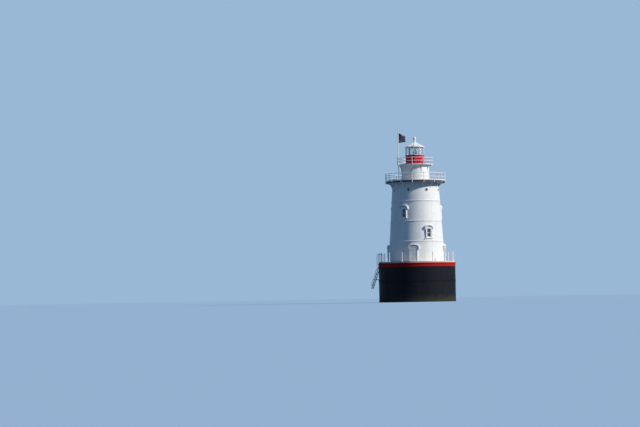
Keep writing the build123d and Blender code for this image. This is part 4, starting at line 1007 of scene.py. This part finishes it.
lens_glass, tree = shaded("lens_green_glass")
place = object_place(tree)
steps = maths("FRACT", times(split(place)[2], 24.0))
surfaced(tree, mixed(steps, (0.30, 0.66, 0.66, 1), (0.52, 0.86, 0.82, 1)),
         eased(noise(place, 20.0, 3), 0.3, 0.7, 0.05, 0.14), steps, 0.01, 0.8, IOR=1.5,
         Transmission_Weight=0.45)
dress(lens_glass, "beacon")
bronze, tree = shaded("beacon_bronze")
tarnish = noise(object_place(tree), 14.0, 6)
surfaced(tree, mixed(eased(tarnish, 0.4, 0.7), (0.42, 0.26, 0.11, 1), (0.15, 0.13, 0.08, 1)),
         eased(tarnish, 0.3, 0.7, 0.28, 0.55), Metallic=0.9)
cage = bmesh.new()
for low in (LENS_LOW - 0.012, LENS_HIGH - 0.008):
    collar(cage, 0.10, 0.160, low, low + 0.02, 40)
collar(cage, 0.09, 0.100, UPPER_DECK + 0.06, LENS_LOW - 0.01, 32)
for bearing in spread(6, 30):
    run_radial(cage, bearing, [(0.150, LENS_LOW), (0.208, LENS_LOW + 0.156),
                               (0.208, LENS_HIGH - 0.156), (0.150, LENS_HIGH)],
               mirrored((0.006, -0.006), (0.006, 0.006)))
lathe(cage, [(0.14, UPPER_DECK + 0.058), (0.195, UPPER_DECK + 0.058),
             (0.195, UPPER_DECK + 0.07), (0.14, UPPER_DECK + 0.08)], 40)
piece("beacon_cage", cage, bronze, smooth=35)
prisms = bmesh.new()
for i in range(PRISMS):
    fall = abs(i - PRISMS // 2)
    middle = (LENS_LOW + LENS_HIGH) / 2 + (i - PRISMS // 2) * 0.050
    radius = LENS_RADIUS if fall < 2 else LENS_RADIUS - (fall - 1.2) * 0.016
    lathe(prisms, [(radius - 0.015, middle - 0.018), (radius + 0.010, middle - 0.006),
                   (radius + 0.010, middle + 0.006), (radius - 0.015, middle + 0.018)], 40)
piece("lens_prisms", prisms, lens_glass, smooth=40)
flue = bmesh.new()
lathe(flue, [(0.070, LENS_HIGH + 0.015), (0.150, LENS_HIGH + 0.015), (0.155, LENS_HIGH + 0.045),
             (0.094, LENS_HIGH + 0.140), (FLUE_RADIUS, LENS_HIGH + 0.160),
             (FLUE_RADIUS, FLUE_TOP), (0.070, FLUE_TOP)], 36)
hoops(flue, FLUE_RADIUS, 36, *((low, low + 0.03, 0.008) for low in FLUE_JOINTS))
piece("beacon_flue", flue, hinge_paint, smooth=35)

# Flagpole
# A tapering white pole that stands on the main gallery and is clamped to the upper one. A
# collar lies round its bolted foot, and two more lie at the clamp.
POLE_REACH = 2.2363
POLE_BEARING = -55.0
POLE_COLLARS = (14.46, 16.27, 16.42)
POLE_FOOT = 14.425
POLE = polar(POLE_REACH, POLE_BEARING)

dress(rail_paint, "flagpole", "flag_clips")
collars = bmesh.new()
for height in POLE_COLLARS:
    collar(collars, 0.050, 0.077, height, height + 0.040, 24, POLE, 0.006)
bolt_circle(collars, moved(*POLE, POLE_FOOT), 0.096, spread(4, 45), 0.011)
piece("flagpole_collars", collars, rail_paint, smooth=35)

# Flag
# Woven bunting, 1.17 m on the hoist and 1.75 m on the fly, with sewn stripes, a dark blue
# canton with white stars, and a canvas heading. The wind folds it along the fly and lets its
# upper corner fall.
FLAG_TOP = 20.125
FLAG_HOIST = 1.165
FLAG_ANGLE = -50.0
FLAG_START = 0.097
FLAG_FALL = 0.46
FLAG_REACH = 1.40
FLAG_FOLDS = 3.2
FLAG_SKEW = 0.4
FLAG_SWING = 0.14
FLAG_FRAMES = 8
COLUMNS = 72
ROWS = 48
STRIPES = 13
CANTON_FLY = 0.40
CANTON_LOW = 6 / STRIPES
STARS_ALONG = 6.0
STARS_DOWN = 5.0
# White, red and blue are darker than new bunting: painted shade, as the flag hangs in shade.
WHITE_CLOTH_IN_PAINTED_SHADE = (0.60, 0.60, 0.59, 1)

fly_way = Vector((math.cos(math.radians(FLAG_ANGLE)), math.sin(math.radians(FLAG_ANGLE)), 0))
side_way = Vector((-fly_way.y, fly_way.x, 0))
hoist_top = Vector((*POLE, FLAG_TOP))


def fold_depth(share):
    """How deep sine folds must be to take the hoist's height in to a share of it."""
    shallow, deep = 0.0, FLAG_HOIST / 2
    wave = [math.sin(math.tau * FLAG_FOLDS * i / 200) for i in range(201)]
    for _ in range(24):
        depth = (shallow + deep) / 2
        run = sum(math.hypot(share * FLAG_HOIST / 200, depth * (b - a))
                  for a, b in zip(wave, wave[1:]))
        shallow, deep = (depth, deep) if run < FLAG_HOIST else (shallow, depth)
    return depth


flag_mesh = bmesh.new()
uv = flag_mesh.loops.layers.uv.new("cloth")
grid = []
for i in range(COLUMNS + 1):
    u = i / COLUMNS
    fall = FLAG_FALL * u ** 1.1
    share = 1 - fall / FLAG_HOIST
    depth = fold_depth(share)
    swing = FLAG_SWING * u ** 0.7 * math.sin(math.tau * 1.1 * u)
    rest = math.sin(math.tau * FLAG_SKEW * u)
    line = []
    for j in range(ROWS + 1):
        v = j / ROWS
        fold = depth * (math.sin(math.tau * (FLAG_FOLDS * v + FLAG_SKEW * u)) - rest)
        line.append(flag_mesh.verts.new(
            hoist_top + fly_way * (FLAG_START + u * FLAG_REACH) + side_way * (fold + swing)
            - Vector((0, 0, fall + v * FLAG_HOIST * share))))
    grid.append(line)
for i in range(COLUMNS):
    for j in range(ROWS):
        cell = ((i, j), (i, j + 1), (i + 1, j + 1), (i + 1, j))
        face = flag_mesh.faces.new([grid[a][b] for a, b in cell])
        for loop, (a, b) in zip(face.loops, cell):
            loop[uv].uv = (a / COLUMNS, 1 - b / ROWS)

bunting, tree = shaded("flag_bunting")
cloth_uv = add(tree, "UVMap", uv_map="cloth").outputs[0]
along, up, _ = split(cloth_uv)
stripe = maths("GREATER_THAN", maths("FRACT", times(minus(1.0, up), STRIPES / 2)), 0.5)
# The stripe red and the white are kept dark: painted shade.
field = mixed(stripe, (0.36, 0.014, 0.030, 1), WHITE_CLOTH_IN_PAINTED_SHADE)
in_canton = times(maths("LESS_THAN", along, CANTON_FLY), maths("GREATER_THAN", up, CANTON_LOW))
cell_x = times(maths("DIVIDE", along, CANTON_FLY), STARS_ALONG)
cell_y = times(maths("DIVIDE", minus(up, CANTON_LOW), 1 - CANTON_LOW), STARS_DOWN)
star_x = times(minus(maths("FRACT", cell_x), 0.5), 0.70 / STARS_ALONG)
star_y = times(minus(maths("FRACT", cell_y), 0.5), 0.627 / STARS_DOWN)
angle = maths("FLOORED_MODULO", maths("ARCTAN2", star_x, star_y), math.tau / 5)
point = maths("ABSOLUTE", minus(angle, math.pi / 5))
star = maths("LESS_THAN", length(star_x, star_y), eased(point, 0.0, math.pi / 5, 0.016, 0.040))
canton = mixed(star, (0.009, 0.015, 0.060, 1), WHITE_CLOTH_IN_PAINTED_SHADE)
shade = mixed(in_canton, field, canton)
shade = mixed(maths("LESS_THAN", along, 0.02), shade, (0.66, 0.64, 0.58, 1))
faded = noise(cloth_uv, 5.0, 4)
shade = mixed(eased(faded, 0.35, 0.75, 0.0, 0.16), shade, (0.45, 0.42, 0.42, 1))
threads = times(maths("SINE", times(along, 2200.0)), maths("SINE", times(up, 1500.0)))
off_seam = maths("ABSOLUTE", minus(maths("FRACT", times(up, STRIPES)), 0.5))
surfaced(tree, shade, eased(faded, 0.3, 0.7, 0.78, 0.92),
         plus(times(threads, 0.3), eased(off_seam, 0.44, 0.5)), 0.002, 0.6, Sheen_Weight=0.15,
         Specular_IOR_Level=0.2)
flag = piece("flag_cloth", flag_mesh, bunting, smooth=80)
heading_pins = flag.vertex_groups.new(name="heading")
heading_pins.add(list(range(ROWS + 1)), 1.0, "REPLACE")
fly = flag.modifiers.new("fly", "CLOTH")
for setting, value in (("quality", 6), ("mass", 0.02), ("tension_stiffness", 15),
                       ("compression_stiffness", 15), ("shear_stiffness", 8),
                       ("bending_stiffness", 2.0), ("vertex_group_mass", "heading")):
    setattr(fly.settings, setting, value)
fly.settings.effector_weights.gravity = 0.3
fly.collision_settings.use_self_collision = True
fly.collision_settings.self_distance_min = 0.008
wind = linked("wind", None)
bpy.context.view_layer.objects.active = wind
wind.select_set(True)
bpy.ops.object.forcefield_toggle()
wind.field.type = "WIND"
wind.field.strength = 800
wind.field.seed = 1
wind.matrix_world = (Matrix.Translation(hoist_top)
                     @ fly_way.to_track_quat("Z", "Y").to_matrix().to_4x4())
for frame_number in range(1, FLAG_FRAMES + 1):
    bpy.context.scene.frame_set(frame_number)
blown = bpy.data.meshes.new_from_object(
    flag.evaluated_get(bpy.context.evaluated_depsgraph_get()))
flag.modifiers.clear()
flag.data = blown
bpy.data.objects.remove(wind)
bpy.context.scene.frame_set(1)
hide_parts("flag")

# Boat ladder
# A black iron ladder hooked over the rim and strutted off the caisson, with a bent handrail at
# each side. The rungs are riveted through the stiles, the hooks and struts are bolted down, and
# the handrails stand in flanged feet.
LADDER_BEARING = -60.0
LADDER_HALF = 0.230
LADDER_REACH = 4.669
LADDER_LEAN = 1.113 / 3.0
LOWEST_RUNG = 1.79
RUNG_PITCH = 0.30
RIM_TOP = 4.640
STRUT_HEIGHT = 2.5515
STRUT_BEARING = 2.883
HOOK_BOLTS = (4.565, 4.605)
HANDRAIL_REACH = 4.480

ladder_paint = painted("ladder_black_paint", (0.014, 0.015, 0.018), (0.050, 0.040, 0.030),
                       patches=0.4, runs=0.4, gloss=0.30, scale=3.0, rust=0.35, bump=0.0015,
                       shine=0.12)
dress(ladder_paint, "boat_ladder", "ladder_handrails")
fittings = bmesh.new()
for side in (-1, 1):
    for i in range(10):
        height = LOWEST_RUNG + RUNG_PITCH * i
        reach = LADDER_REACH + LADDER_LEAN * (RIM_TOP - height) + 0.045
        rung_end = moved(side * (LADDER_HALF + 0.011), -reach, height)
        bolt(fittings, rung_end @ turned(90 * side, "Y"), 0.014, 12)
    for reach in HOOK_BOLTS:
        bolt(fittings, moved(side * LADDER_HALF, -reach, RIM_TOP + 0.020), 0.010)
    lathe(fittings, [(0.022, DECK - 0.002), (0.052, DECK - 0.002), (0.052, DECK + 0.010),
                     (0.030, DECK + 0.028), (0.022, DECK + 0.028)], 24,
          (side * LADDER_HALF, -HANDRAIL_REACH))
    pad = bmesh.new()
    lathe(pad, [(0.015, -0.004), (0.060, -0.004), (0.060, 0.012), (0.030, 0.024), (0.015, 0.024)],
          24)
    bolt_circle(pad, moved(0, 0, 0.012), 0.045, spread(3, 30), 0.008)
    join(fittings, pad, [facing(side * STRUT_BEARING, CAISSON_RADIUS, STRUT_HEIGHT)])
piece("ladder_fittings", fittings, ladder_paint, smooth=35,
      around=(LADDER_BEARING,))

# Finishing
bpy.context.scene.view_settings.view_transform = "Standard"
